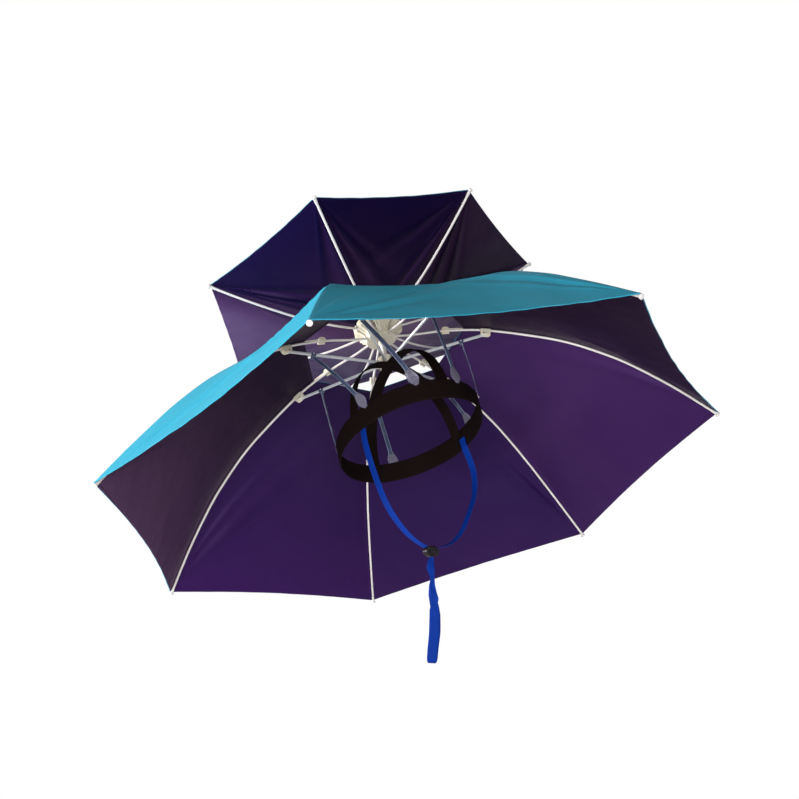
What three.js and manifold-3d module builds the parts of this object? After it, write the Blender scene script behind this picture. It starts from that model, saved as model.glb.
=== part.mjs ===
// Umbrella hat: two canopies on seven folding ribs each, a headband on seven legs, and a chin strap.
// Millimetres. +Z is the hat's axis, -Y is the wearer's front, +X the wearer's left.
// The origin is on the axis, level with the lower edge of the headband.

import * as THREE from 'three';
import { mergeVertices } from 'three/addons/utils/BufferGeometryUtils.js';
import Module from 'manifold-3d';

const wasm = await Module();
wasm.setup();

// General
const ribCount = 7;
const clearance = 0.3; // between pieces that touch on the real hat
const facetRoom = 0.25; // more room where a flat facet cuts a corner of a curved wall

// Headband and crown straps
const headWidth = 158;
const headLength = 197;
const bandForward = 6; // the head sits this far in front of the axis
const bandHeight = 26;
const bandWall = 2;
const bandFacets = 48;
const crownHeight = 112; // inside of the crown straps, above the band's lower edge
const crownStrapWidth = 16;
const crownStrapThickness = 1.3;
const crownStrapLap = 11; // sewn behind the band
const crownStrapBends = 12;
const crownStrapFullness = 0.9; // below 1 gives the arch fuller shoulders
const crownStrapSteps = 20;
const crownStrapTurn = -9; // degrees that the long strap turns off the hat's middle plane
const crossingRoom = 0.6; // between the two straps, whose arches bend different ways

// Hub, shaft and runner
const runnerGap = 1.5; // above the crown straps
const runnerRadius = 13;
const runnerHeight = 9;
const runnerCore = 7.4;
const shaftRadius = 3;
const shaftShow = 30; // length seen between runner and hub
const hubRadius = 30;
const hubHeight = 24;
const hubCore = 16;
const lobeRise = 2.2; // how far a lobe swells past the hub's radius
const lobeRound = 12; // facets of each lobe
const runnerLobeRise = 0.6;
const boreSides = 16;
const shaftSides = 14;
const topCapRadius = 19;
const topCapHeight = 8;
const topCapStem = 8;
const topCapBoreRoom = 2; // cloth stands off the stem
const topCapSides = 20;

// Ribs
const ribRadius = 1.5;
const ribSides = 6;
const ribSteps = 11;
const tipCapRadius = 2.9;
const tipCapLength = 6;
const tipCapSides = 7;
const lowerTipRadius = 371;
const lowerDrop = 210; // from the rib's root to its tip
const lowerRootAbove = 3; // above the hub's lower face
const upperTipRadius = 217;
const upperRise = 53;
const upperRootBelow = 7; // below the hub's upper face

// Cloth
const clothThickness = 1.2;
const seamRoom = 0.5; // hems and stitches keep the cloth this much higher on its ribs
const ventRadius = 106; // to the corners of the vent hole
const lowerRows = 11;
const lowerColumns = 8; // in each panel
const lowerHemBow = 5; // how far the hem's middle draws in
const lowerSag = 10; // how far the middle of a panel draws in
const upperRows = 9;
const upperColumns = 6;
const upperHemBow = 3;
const upperSag = 3.5;
const upperFlatBeyond = 1; // the cloth lies flat this far past the hub's lobes
const upperFlatHold = 1.5; // the hub holds the cloth for this many times the flat length

// Stretchers, knuckles, clips and legs
const knuckleRadius = 133; // where the knuckle sits on the rib
const knuckleLength = 13;
const knuckleCheek = 1.7;
const knuckleWeb = 1.2;
const knuckleDepth = 5; // of the cheeks below the web
const knuckleLip = 0.6; // of the cheeks above the rib's middle
const knuckleHang = 1; // room for the stretcher's end to turn under the web
const stretcherWidth = 4;
const stretcherWall = 0.8;
const clipRadius = 83;
const clipLength = 9;
const clipWall = 2.2;
const spikeRadius = 1;
const spikeSides = 6;
const spikeLap = 2; // of the spike's root inside the clip
const spikeEase = 0.6; // more room at the spike's point
const legPivotRadius = 98;
const legBlockLength = 6;
const legBlockWall = 1.3;
const legBlockFloor = 2.6;
const legWidth = 5.6;
const legThickness = 1.6;
const legSteps = 11;
const legRootShare = 0.8; // a leg starts at this share of its block's floor
const legBowOut = 2; // of a leg over its foot
const legRiseShare = 0.35; // of a leg's height where it is most upright
const legTopPull = 0.4;
const legLean = 0.24; // of the way from foot to top that a leg has leaned back where it is most upright
const footLap = 5; // the foot's tip reaches this far below the band's upper edge

// Chin strap, cord lock and free end
const chinStrapWidth = 10;
const chinStrapThickness = 1.1;
const chinStrapSteps = 22;
const chinStrapPlace = 15; // in front of the axis, where it leaves the band
const chinStrapLap = 12; // sewn behind the band
const chinStrapDip = 0.5; // it runs straight to this far below the band
const lockWidth = 19;
const lockHeight = 12.5;
const lockDepth = 8;
const lockRound = 10; // facets of each half of the oval
const lockJoin = 40; // degrees above the lock's middle where a strand goes in
const tailLayers = 2;
const tailSteps = 24;

// Shape of a lower rib: reach is the share of the way out from root to tip, height is the share
// of the drop that is left, and ease is how much of the drop the cloth pulls a slack rib down.
const lowerRibShape = [
  { reach: 0.000, height: 1.000, ease: 0.000 },
  { reach: 0.068, height: 0.981, ease: 0.000 },
  { reach: 0.159, height: 0.966, ease: 0.000 },
  { reach: 0.266, height: 0.931, ease: 0.000 },
  { reach: 0.329, height: 0.899, ease: 0.000 },
  { reach: 0.442, height: 0.821, ease: 0.006 },
  { reach: 0.592, height: 0.695, ease: 0.026 },
  { reach: 0.734, height: 0.518, ease: 0.048 },
  { reach: 0.802, height: 0.408, ease: 0.052 },
  { reach: 0.899, height: 0.224, ease: 0.038 },
  { reach: 1.000, height: 0.000, ease: 0.000 },
];
// How slack each lower rib is, from the front rib round by the wearer's left.
const ribSlack = [1, 0, 1, 0.6, 0, 1, 1];

// Shape of an upper rib: reach as above, and height is the share of the rise.
const upperRibShape = [
  { reach: 0.000, height: 0.000 },
  { reach: 0.069, height: 0.010 },
  { reach: 0.230, height: 0.067 },
  { reach: 0.439, height: 0.222 },
  { reach: 0.693, height: 0.530 },
  { reach: 0.900, height: 0.835 },
  { reach: 1.000, height: 1.000 },
];

// How far a panel has drawn in along a seam, as shares of its sag: along is the share of the free seam.
const sagShape = [
  { along: 0.0, depth: 0.00 },
  { along: 0.2, depth: 0.42 },
  { along: 0.4, depth: 0.76 },
  { along: 0.6, depth: 0.97 },
  { along: 0.8, depth: 1.00 },
  { along: 1.0, depth: 0.85 },
];

// Feet of the legs, counted from the front rib: degrees from the wearer's front round the headband.
const footTurns = [0, 28.6, 71, 154.3, -154.3, -71, -28.6];

// Width of a leg along its length, as shares of the leg's own width.
const legShape = [
  { along: 0.00, width: 1.0 },
  { along: 0.78, width: 1.0 },
  { along: 0.88, width: 2.3 },
  { along: 0.93, width: 2.4 },
  { along: 1.00, width: 0.8 },
];

// Route of the chin strap below the band, on the left and right of the wearer, to the lock.
const strapRouteRight = [
  [-76.4, -13.4, -12], [-74.8, -11.6, -22], [-72.4, -9.7, -34], [-68.8, -7.3, -48],
  [-65.0, -5.2, -62], [-58.5, -1.8, -80], [-50.6, 0.8, -95], [-41.0, 3.0, -108], [-29.0, 5.0, -120],
  [-16.5, 6.2, -128.2],
];
const strapRouteLeft = [
  [80.6, -13.4, -12], [83.6, -11.6, -22], [85.2, -9.7, -34], [84.0, -7.3, -48],
  [79.5, -4.6, -64], [67.0, -1.2, -86], [57.6, 1.4, -101], [46.6, 3.9, -114.5], [33.5, 5.8, -124.5],
  [20.0, 6.6, -130],
];
const lockPlace = [0, 7.6, -137];
// The free end hangs plumb on a head that carries the hat tipped back.
const tailRoute = [
  [0.5, 15.3, -157], [1.2, 20.6, -171], [1.6, 26.0, -184], [2.4, 30.6, -197], [2.6, 35.8, -210],
  [2.2, 41.0, -223], [1.0, 46.4, -236], [0, 53.0, -252.4],
];
const tailTwist = -38; // degrees that the free end turns at its middle

// Heights and radii that follow from the sizes above
const strapTop = crownHeight + 2 * crownStrapThickness + crossingRoom;
const runnerBottom = strapTop + runnerGap;
const runnerTop = runnerBottom + runnerHeight;
const hubBottom = runnerTop + shaftShow;
const hubTop = hubBottom + hubHeight;
const ribSlot = 2 * (ribRadius + clearance);
const ribRoot = hubCore + 2 * clearance;
const lowerRootHeight = hubBottom + lowerRootAbove;
const upperRootHeight = hubTop - upperRootBelow;
const stretcherSlot = stretcherWidth + 2 * clearance;
const stretcherRoot = runnerCore + 2 * clearance;
const ribAngle = 2 * Math.PI / ribCount;
const seamLift = ribRadius + seamRoom + clearance + clothThickness / 2;

const finishes = {
  outerCloth: { color: 0x4f93ab, roughness: 0.6, metalness: 0 },
  plastic: { color: 0xe6e4da, roughness: 0.45, metalness: 0 },
  rib: { color: 0xe9e8e2, roughness: 0.4, metalness: 0.1 },
  steel: { color: 0xb9bdc2, roughness: 0.35, metalness: 0.8 },
  leg: { color: 0x3c4a63, roughness: 0.35, metalness: 0.3 },
  band: { color: 0x14110f, roughness: 0.85, metalness: 0 },
  strap: { color: 0x0a4fc0, roughness: 0.6, metalness: 0 },
  lock: { color: 0x1c1815, roughness: 0.4, metalness: 0 },
};

const group = new THREE.Group();

// Adds a named mesh. turn is its angle round the hat's axis.
function add(name, geometry, finish, turn = 0) {
  const mesh = new THREE.Mesh(geometry, new THREE.MeshStandardMaterial(finishes[finish]));
  mesh.name = name;
  mesh.rotation.z = turn;
  group.add(mesh);
}

// The angle of rib number index: rib 0 points to the front.
function ribTurn(index) {
  return -Math.PI / 2 + index * ribAngle;
}

// One skin with shared corners, so that a body is closed.
function skin(geometry) {
  const bare = geometry.clone();
  bare.deleteAttribute('normal');
  bare.deleteAttribute('uv');
  return mergeVertices(bare, 0.0001);
}

function solid(geometry) {
  const merged = skin(geometry);
  const mesh = new wasm.Mesh({
    numProp: 3,
    vertProperties: new Float32Array(merged.attributes.position.array),
    triVerts: new Uint32Array(merged.index.array),
  });
  return new wasm.Manifold(mesh);
}

// Joins geometries that overlap into one body.
function joined(first, ...others) {
  let body = solid(first);
  for (const other of others) {
    body = body.add(solid(other));
  }
  const mesh = body.getMesh();
  const geometry = new THREE.BufferGeometry();
  geometry.setAttribute('position', new THREE.Float32BufferAttribute(mesh.vertProperties, 3));
  geometry.setIndex(Array.from(mesh.triVerts));
  return geometry;
}

// A closed outline from corners [x, y].
function outline(corners) {
  return new THREE.Shape(corners.map(([x, y]) => new THREE.Vector2(x, y)));
}

function roundOutline(radius, sides) {
  const corners = [];
  for (let i = 0; i < sides; i++) {
    const a = 2 * Math.PI * i / sides;
    corners.push([radius * Math.cos(a), radius * Math.sin(a)]);
  }
  return outline(corners);
}

// Extrudes an outline up from its own plane.
function plate(shape, height, base) {
  const geometry = new THREE.ExtrudeGeometry(shape, {
    depth: height,
    bevelEnabled: false,
    curveSegments: lobeRound,
  });
  return geometry.translate(0, 0, base);
}

// Lays an extrusion along a line in the plane of a rib: its x goes sideways and its y upwards.
function alongLine(shape, start, end) {
  const run = end.clone().sub(start);
  const depth = run.length();
  const forward = run.normalize();
  const sideways = new THREE.Vector3(0, 1, 0);
  const upwards = forward.clone().cross(sideways);
  const geometry = new THREE.ExtrudeGeometry(shape, { depth, bevelEnabled: false });
  geometry.applyMatrix4(new THREE.Matrix4().makeBasis(sideways, upwards, forward));
  return geometry.translate(start.x, start.y, start.z);
}

// A flat strip along a curve. across(t) is the direction of its width, and share(t) scales the width.
function strip(curve, width, thickness, steps, across, share = () => 1) {
  const geometry = new THREE.BoxGeometry(1, 1, 1, 1, 1, steps);
  const places = geometry.attributes.position;
  for (let i = 0; i < places.count; i++) {
    const t = places.getZ(i) + 0.5;
    const centre = curve.getPointAt(t);
    const tangent = curve.getTangentAt(t);
    const side = across(t).clone();
    side.addScaledVector(tangent, -side.dot(tangent)).normalize();
    const face = tangent.clone().cross(side);
    centre.addScaledVector(side, places.getX(i) * width * share(t));
    centre.addScaledVector(face, places.getY(i) * thickness);
    places.setXYZ(i, centre.x, centre.y, centre.z);
  }
  return geometry;
}

function smoothThrough(points) {
  const places = points.map(([x, y, z]) => new THREE.Vector3(x, y, z));
  return new THREE.CatmullRomCurve3(places, false, 'centripetal');
}

// Reads a value from a table at a position, straight between its rows.
function tableValue(rows, key, value, at) {
  for (let i = 1; i < rows.length; i++) {
    if (at <= rows[i][key]) {
      const share = (at - rows[i - 1][key]) / (rows[i][key] - rows[i - 1][key]);
      return rows[i - 1][value] + share * (rows[i][value] - rows[i - 1][value]);
    }
  }
  return rows[rows.length - 1][value];
}

// Rib curves, in the XZ plane
function ribCurve(shape, tipRadius, heightOf) {
  return smoothThrough(shape.map((row) => [ribRoot + row.reach * (tipRadius - ribRoot), 0, heightOf(row)]));
}

const lowerRibs = ribSlack.map((slack) => ribCurve(lowerRibShape, lowerTipRadius,
  ({ height, ease }) => lowerRootHeight + (height - slack * ease - 1) * lowerDrop));
const upperRib = ribCurve(upperRibShape, upperTipRadius,
  ({ height }) => upperRootHeight + height * upperRise);
const stiffRib = lowerRibs[ribSlack.indexOf(0)]; // what sits near the hub is the same on every rib

// The point of a rib at a distance from the axis, with its direction and the direction away from the rib.
function ribAt(curve, radius) {
  let low = 0;
  let high = 1;
  for (let i = 0; i < 40; i++) {
    const middle = (low + high) / 2;
    if (curve.getPointAt(middle).x < radius) {
      low = middle;
    } else {
      high = middle;
    }
  }
  const tangent = curve.getTangentAt(low);
  const away = new THREE.Vector3(-tangent.z, 0, tangent.x);
  return { place: curve.getPointAt(low), tangent, away };
}

// Profile of a tip cap: out and back are shares of its radius and its length, from the tip.
const tipCapShape = [
  { out: 0.00, back: 1.00 },
  { out: 0.85, back: 1.00 },
  { out: 1.00, back: 0.85 },
  { out: 1.00, back: 0.30 },
  { out: 0.70, back: 0.07 },
  { out: 0.00, back: 0.00 },
];

// A rib with its rounded tip cap, in the XZ plane
function ribWithCap(curve) {
  const rod = new THREE.ExtrudeGeometry(roundOutline(ribRadius, ribSides), {
    steps: ribSteps,
    extrudePath: curve,
    bevelEnabled: false,
  });
  const tip = curve.getPointAt(1);
  const tangent = curve.getTangentAt(1);
  const profile = tipCapShape.map(({ out, back }) => (
    new THREE.Vector2(out * tipCapRadius, -back * tipCapLength)));
  const cap = new THREE.LatheGeometry(profile, tipCapSides);
  cap.applyQuaternion(new THREE.Quaternion().setFromUnitVectors(new THREE.Vector3(0, 1, 0), tangent));
  cap.translate(tip.x + tangent.x, tip.y, tip.z + tangent.z);
  return joined(rod, cap);
}

// Where the cloth's corner ends, just short of the tip cap
function cornerRadius(curve) {
  return curve.getPointAt(1).x - (tipCapLength + clearance) * curve.getTangentAt(1).x;
}

// Canopies. seam(s, rib) gives the cloth's place over a rib and the direction away from the rib,
// from s = 0 inside to s = 1 at the hem's corner. Between two ribs the cloth is stretched straight
// and draws in by sag, from the share of the seam where it is free.
function canopy(seam, rows, columns, hemBow, sag, free) {
  const segments = ribCount * columns;
  const loop = [];
  for (let j = 0; j <= 2 * rows + 2; j++) {
    loop.push(new THREE.Vector2(1, j));
  }
  const geometry = new THREE.LatheGeometry(loop, segments);
  const places = geometry.attributes.position;
  const seamLength = seam(1, 0).place.distanceTo(seam(0, 0).place);
  const up = new THREE.Vector3(0, 0, 1);
  for (let i = 0; i <= segments; i++) {
    for (let j = 0; j < loop.length; j++) {
      const around = i % segments;
      const panel = Math.floor(around / columns);
      const u = (around % columns) / columns;
      const swell = 4 * u * (1 - u);
      const isOuter = j <= rows || j === loop.length - 1;
      const row = j === loop.length - 1 ? 0 : (isOuter ? j : 2 * rows + 1 - j);
      const s = row / rows;
      const drawn = s * (1 - swell * hemBow / seamLength);
      const near = seam(drawn, panel);
      const far = seam(drawn, (panel + 1) % ribCount);
      const point = near.place.clone().applyAxisAngle(up, ribTurn(panel));
      point.lerp(far.place.clone().applyAxisAngle(up, ribTurn(panel + 1)), u);
      const middle = near.away.clone().lerp(far.away, u).normalize();
      middle.applyAxisAngle(up, ribTurn(panel + u));
      const loose = Math.max(0, (s - free) / (1 - free));
      point.addScaledVector(middle, -sag * swell * tableValue(sagShape, 'along', 'depth', loose));
      point.addScaledVector(middle, (isOuter ? 1 : -1) * clothThickness / 2);
      places.setXYZ(i * loop.length + j, point.x, point.y, point.z);
    }
  }
  return faceOut(skin(geometry));
}

// Turns a closed body's faces outwards.
function faceOut(geometry) {
  const places = geometry.attributes.position;
  const index = geometry.index;
  let volume = 0;
  const corner = [new THREE.Vector3(), new THREE.Vector3(), new THREE.Vector3()];
  for (let i = 0; i < index.count; i += 3) {
    corner.forEach((point, n) => point.fromBufferAttribute(places, index.getX(i + n)));
    volume += corner[0].dot(corner[1].clone().cross(corner[2]));
  }
  if (volume < 0) {
    for (let i = 0; i < index.count; i += 3) {
      const held = index.getX(i);
      index.setX(i, index.getX(i + 1));
      index.setX(i + 1, held);
    }
  }
  return geometry;
}

// Lower canopy: its seams follow the ribs from the vent hole to the tips.
function lowerSeam(s, rib) {
  const radius = ventRadius + s * (cornerRadius(lowerRibs[rib]) - ventRadius);
  const { place, away } = ribAt(lowerRibs[rib], radius);
  return { place: place.addScaledVector(away, seamLift), away };
}

// Upper canopy: its seams run flat over the hub and then straight to the tips, above the ribs' hollow.
const upperHole = topCapStem + topCapBoreRoom;
const upperFlat = hubRadius + lobeRise + upperFlatBeyond;
const upperCorner = ribAt(upperRib, cornerRadius(upperRib));
const upperEnd = upperCorner.place.clone().addScaledVector(upperCorner.away, seamLift);
const upperStart = new THREE.Vector3(upperFlat, 0, hubTop + clearance + clothThickness / 2);
const flatLength = upperFlat - upperHole;
const upperLength = flatLength + upperEnd.distanceTo(upperStart);
function upperSeam(s) {
  const gone = s * upperLength;
  if (gone <= flatLength) {
    const flat = new THREE.Vector3(upperHole + gone, 0, upperStart.z);
    return { place: flat, away: new THREE.Vector3(0, 0, 1) };
  }
  const run = upperEnd.clone().sub(upperStart).normalize();
  const place = upperStart.clone().addScaledVector(run, gone - flatLength);
  return { place, away: new THREE.Vector3(-run.z, 0, run.x) };
}

const upperFree = upperFlatHold * flatLength / upperLength;
add('main_canopy', canopy(lowerSeam, lowerRows, lowerColumns, lowerHemBow, lowerSag, 0), 'outerCloth');
const topCanopy = canopy(upperSeam, upperRows, upperColumns, upperHemBow, upperSag, upperFree);
add('top_canopy', topCanopy, 'outerCloth');

// A crown with a slot for each arm. Its lobes swell between the slots.
function slottedDisc(radius, core, slot, bore, rise) {
  const shape = new THREE.Shape();
  const mouth = Math.asin(slot / 2 / radius);
  const foot = Math.asin(slot / 2 / core);
  for (let k = 0; k < ribCount; k++) {
    const turn = ribTurn(k);
    const next = ribTurn(k + 1);
    const inner = [turn - foot, turn + foot].map((a) => [core * Math.cos(a), core * Math.sin(a)]);
    const outer = [turn + mouth, next - mouth].map((a) => [radius * Math.cos(a), radius * Math.sin(a)]);
    const middle = (turn + next) / 2;
    const bulge = 2 * (radius + rise) - radius * Math.cos(ribAngle / 2 - mouth);
    if (k === 0) {
      shape.moveTo(...inner[0]);
    } else {
      shape.lineTo(...inner[0]);
    }
    shape.lineTo(...inner[1]);
    shape.lineTo(...outer[0]);
    shape.quadraticCurveTo(bulge * Math.cos(middle), bulge * Math.sin(middle), ...outer[1]);
  }
  shape.closePath();
  shape.holes.push(new THREE.Path(roundOutline(bore, boreSides).getPoints().reverse()));
  return shape;
}

const bore = shaftRadius + clearance;
const hubShape = slottedDisc(hubRadius, hubCore, ribSlot, bore, lobeRise);
const runnerShape = slottedDisc(runnerRadius, runnerCore, stretcherSlot, bore, runnerLobeRise);
add('hub', skin(plate(hubShape, hubHeight, hubBottom)), 'plastic');
add('runner', skin(plate(runnerShape, runnerHeight, runnerBottom)), 'plastic');
const shaft = plate(roundOutline(shaftRadius, shaftSides), hubTop - runnerBottom, runnerBottom);
add('shaft', skin(shaft), 'steel');

const capBase = hubTop + 2 * clearance + clothThickness;
const topCapStemOutline = [
  new THREE.Vector2(0, hubTop + clearance),
  new THREE.Vector2(topCapStem, hubTop + clearance),
  new THREE.Vector2(topCapStem, capBase),
];
// Dome of the cap: out and up are shares of its radius and its height.
const topCapShape = [
  { out: 1.0, up: 0.00 },
  { out: 1.0, up: 0.25 },
  { out: 0.8, up: 0.70 },
  { out: 0.4, up: 0.95 },
  { out: 0.0, up: 1.00 },
];
const topCapDome = topCapShape.map(({ out, up }) => (
  new THREE.Vector2(out * topCapRadius, capBase + up * topCapHeight)));
const topCap = new THREE.LatheGeometry([...topCapStemOutline, ...topCapDome], topCapSides);
topCap.rotateX(Math.PI / 2);
add('top_cap', faceOut(skin(topCap)), 'plastic');

// Pieces that repeat at each rib, made in the XZ plane
const upperRibBody = ribWithCap(upperRib);

// Clip: a saddle over the rib, with a spike that reaches to the corner of the vent hole
function clipBody() {
  const { place, tangent } = ribAt(stiffRib, clipRadius);
  const inside = ribRadius + clearance;
  const outside = inside + clipWall;
  const shape = outline([
    [-outside, -outside], [-inside, -outside], [-inside, inside], [inside, inside],
    [inside, -outside], [outside, -outside], [outside, outside], [-outside, outside],
  ]);
  const start = place.clone().addScaledVector(tangent, -clipLength / 2);
  const end = place.clone().addScaledVector(tangent, clipLength / 2);
  const saddle = alongLine(shape, start, end);
  const { place: edge, away } = lowerSeam(0, ribSlack.indexOf(0));
  const root = place.clone().addScaledVector(away, outside - spikeRadius - clearance);
  root.addScaledVector(tangent, clipLength / 2 - spikeLap);
  const reach = edge.clone().sub(root);
  const point = root.clone().addScaledVector(reach, 1 - (clearance + spikeEase) / reach.length());
  return joined(saddle, alongLine(roundOutline(spikeRadius, spikeSides), root, point));
}

// Knuckle: an H section, with the rib in its upper slot and the stretcher's end in its lower one
const knuckleSeat = ribAt(stiffRib, knuckleRadius);
const webTop = -ribRadius - clearance;
const webBottom = webTop - knuckleWeb;
function knuckleBody() {
  const { place, tangent } = knuckleSeat;
  const half = stretcherSlot / 2;
  const outside = half + knuckleCheek;
  const ribHalf = ribSlot / 2;
  const shape = outline([
    [-outside, webBottom - knuckleDepth], [-half, webBottom - knuckleDepth], [-half, webBottom],
    [half, webBottom], [half, webBottom - knuckleDepth], [outside, webBottom - knuckleDepth],
    [outside, knuckleLip], [ribHalf, knuckleLip], [ribHalf, webTop], [-ribHalf, webTop],
    [-ribHalf, knuckleLip], [-outside, knuckleLip],
  ]);
  const start = place.clone().addScaledVector(tangent, -knuckleLength / 2);
  const end = place.clone().addScaledVector(tangent, knuckleLength / 2);
  return skin(alongLine(shape, start, end));
}

// Stretcher: a channel from the runner's slot to the knuckle's lower slot
const stretcherStart = new THREE.Vector3(stretcherRoot, 0, runnerBottom + runnerHeight / 2);
const stretcherDrop = webBottom - stretcherWidth / 2 - clearance - knuckleHang;
const stretcherEnd = knuckleSeat.place.clone().addScaledVector(knuckleSeat.away, stretcherDrop);
function stretcherBody() {
  const half = stretcherWidth / 2;
  const inside = half - stretcherWall;
  const shape = outline([
    [-half, -half], [-inside, -half], [-inside, inside], [inside, inside],
    [inside, -half], [half, -half], [half, half], [-half, half],
  ]);
  return skin(alongLine(shape, stretcherStart, stretcherEnd));
}

const knuckle = knuckleBody();
const stretcher = stretcherBody();
const clip = clipBody();
for (let k = 0; k < ribCount; k++) {
  add(`rib_${k + 1}`, ribWithCap(lowerRibs[k]), 'rib', ribTurn(k));
  add(`upper_rib_${k + 1}`, upperRibBody, 'rib', ribTurn(k));
  add(`knuckle_${k + 1}`, knuckle, 'plastic', ribTurn(k));
  add(`rib_clip_${k + 1}`, clip, 'plastic', ribTurn(k));
  add(`stretcher_${k + 1}`, stretcher, 'steel', ribTurn(k));
}

// Headband: an elliptical ring round the head
const bandInnerX = headWidth / 2;
const bandInnerY = headLength / 2;
function ellipse(halfX, halfY) {
  const corners = [];
  for (let i = 0; i < bandFacets; i++) {
    const a = 2 * Math.PI * i / bandFacets;
    corners.push([halfX * Math.cos(a), halfY * Math.sin(a) - bandForward]);
  }
  return outline(corners);
}

const bandShape = ellipse(bandInnerX + bandWall, bandInnerY + bandWall);
bandShape.holes.push(new THREE.Path(ellipse(bandInnerX, bandInnerY).getPoints().reverse()));
add('headband', skin(plate(bandShape, bandHeight, 0)), 'band');

// Legs: a block that straddles the stretcher, a thin strip, and a leaf-shaped foot outside the band
function legBody(index) {
  const turn = ribTurn(index);
  const run = stretcherEnd.clone().sub(stretcherStart).normalize();
  const toPivot = (legPivotRadius - stretcherStart.x) / run.x;
  const pivot = stretcherStart.clone().addScaledVector(run, toPivot);
  const below = new THREE.Vector3(run.z, 0, -run.x);
  const half = stretcherSlot / 2;
  const outside = half + legBlockWall;
  const floor = -half - legBlockFloor;
  const rim = half - legBlockWall / 2;
  const shape = outline([
    [-outside, floor], [outside, floor], [outside, rim], [half, rim],
    [half, -half], [-half, -half], [-half, rim], [-outside, rim],
  ]);
  const start = pivot.clone().addScaledVector(run, -legBlockLength / 2);
  const end = pivot.clone().addScaledVector(run, legBlockLength / 2);
  const block = alongLine(shape, start, end).rotateZ(turn);
  const top = pivot.clone().addScaledVector(below, half + legRootShare * legBlockFloor);
  top.applyAxisAngle(new THREE.Vector3(0, 0, 1), turn);
  const angle = footTurns[index] * Math.PI / 180;
  const ahead = new THREE.Vector3(Math.sin(angle), -Math.cos(angle), 0);
  const halfX = bandInnerX + bandWall;
  const halfY = bandInnerY + bandWall;
  const reach = 1 / Math.hypot(ahead.x / halfX, ahead.y / halfY);
  const outward = new THREE.Vector3(ahead.x / halfX ** 2, ahead.y / halfY ** 2, 0).normalize();
  const foot = ahead.clone().multiplyScalar(reach);
  foot.addScaledVector(outward, clearance + legThickness / 2);
  foot.y -= bandForward;
  foot.z = bandHeight - footLap;
  const aboveFoot = foot.clone().addScaledVector(outward, legBowOut);
  aboveFoot.x += legLean * (top.x - foot.x);
  aboveFoot.y += legLean * (top.y - foot.y);
  aboveFoot.z += legRiseShare * (top.z - foot.z);
  const aboveMiddle = top.clone().lerp(aboveFoot, legTopPull);
  const curve = new THREE.CubicBezierCurve3(top, aboveMiddle, aboveFoot, foot);
  const sideAtTop = new THREE.Vector3(-Math.sin(turn), Math.cos(turn), 0);
  const sideAtFoot = new THREE.Vector3(-outward.y, outward.x, 0);
  const across = (t) => sideAtTop.clone().lerp(sideAtFoot, t);
  const share = (t) => tableValue(legShape, 'along', 'width', t);
  return joined(block, strip(curve, legWidth, legThickness, legSteps, across, share));
}

for (let k = 0; k < ribCount; k++) {
  add(`leg_${k + 1}`, legBody(k), 'leg');
}

// Crown straps: two elastic arches over the head, the long one over the cross one.
// turn is the arch's direction, counted from +X, and lift is its middle line's height over the head.
function crownStrap(turn, lift) {
  const ahead = new THREE.Vector3(Math.cos(turn), Math.sin(turn), 0);
  const reach = 1 / Math.hypot(ahead.x / bandInnerX, ahead.y / bandInnerY);
  const square = new THREE.Vector3(ahead.x / bandInnerX ** 2, ahead.y / bandInnerY ** 2, 0).normalize();
  const slant = Math.abs(ahead.x * square.y - ahead.y * square.x);
  // the flat strap's edges meet the round band first
  const hook = (crownStrapWidth / 2) ** 2 / reach + slant * crownStrapWidth / 2;
  const halfSpan = reach - clearance - facetRoom - crownStrapThickness / 2 - hook;
  const foot = bandHeight - crownStrapLap;
  const rise = crownHeight + lift - foot;
  const points = [];
  for (let i = 0; i <= crownStrapBends; i++) {
    const a = Math.PI * i / crownStrapBends;
    const out = -halfSpan * Math.sign(Math.cos(a)) * Math.abs(Math.cos(a)) ** crownStrapFullness;
    points.push([out * ahead.x, out * ahead.y - bandForward, foot + rise * Math.sin(a)]);
  }
  const width = new THREE.Vector3(-ahead.y, ahead.x, 0);
  const arch = smoothThrough(points);
  return skin(strip(arch, crownStrapWidth, crownStrapThickness, crownStrapSteps, () => width));
}

const longTurn = (90 + crownStrapTurn) * Math.PI / 180;
add('crown_strap_cross', crownStrap(0, crownStrapThickness / 2), 'band');
add('crown_strap_long', crownStrap(longTurn, 3 * crownStrapThickness / 2 + crossingRoom), 'band');

// Cord lock: an oval block whose long side lies across the strap
const lockCentre = new THREE.Vector3(...lockPlace);
const lockUp = new THREE.Vector3(0, lockPlace[1] - tailRoute[0][1], lockPlace[2] - tailRoute[0][2]);
lockUp.normalize();
const lockOutline = new THREE.Shape();
lockOutline.absellipse(0, 0, lockWidth / 2, lockHeight / 2, 0, 2 * Math.PI);
const lock = new THREE.ExtrudeGeometry(lockOutline, {
  depth: lockDepth,
  bevelEnabled: false,
  curveSegments: lockRound,
});
const lockSide = new THREE.Vector3(1, 0, 0);
lock.translate(0, 0, -lockDepth / 2);
const lockFacing = lockSide.clone().cross(lockUp);
lock.applyMatrix4(new THREE.Matrix4().makeBasis(lockSide, lockUp, lockFacing));
add('cord_lock', skin(lock.translate(...lockPlace)), 'lock');

// A point just outside the lock's oval, at an angle from its long side
function besideLock(degrees, room) {
  const a = degrees * Math.PI / 180;
  const point = lockCentre.clone().addScaledVector(lockSide, (lockWidth / 2 + room) * Math.cos(a));
  return point.addScaledVector(lockUp, (lockHeight / 2 + room) * Math.sin(a)).toArray();
}

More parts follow.
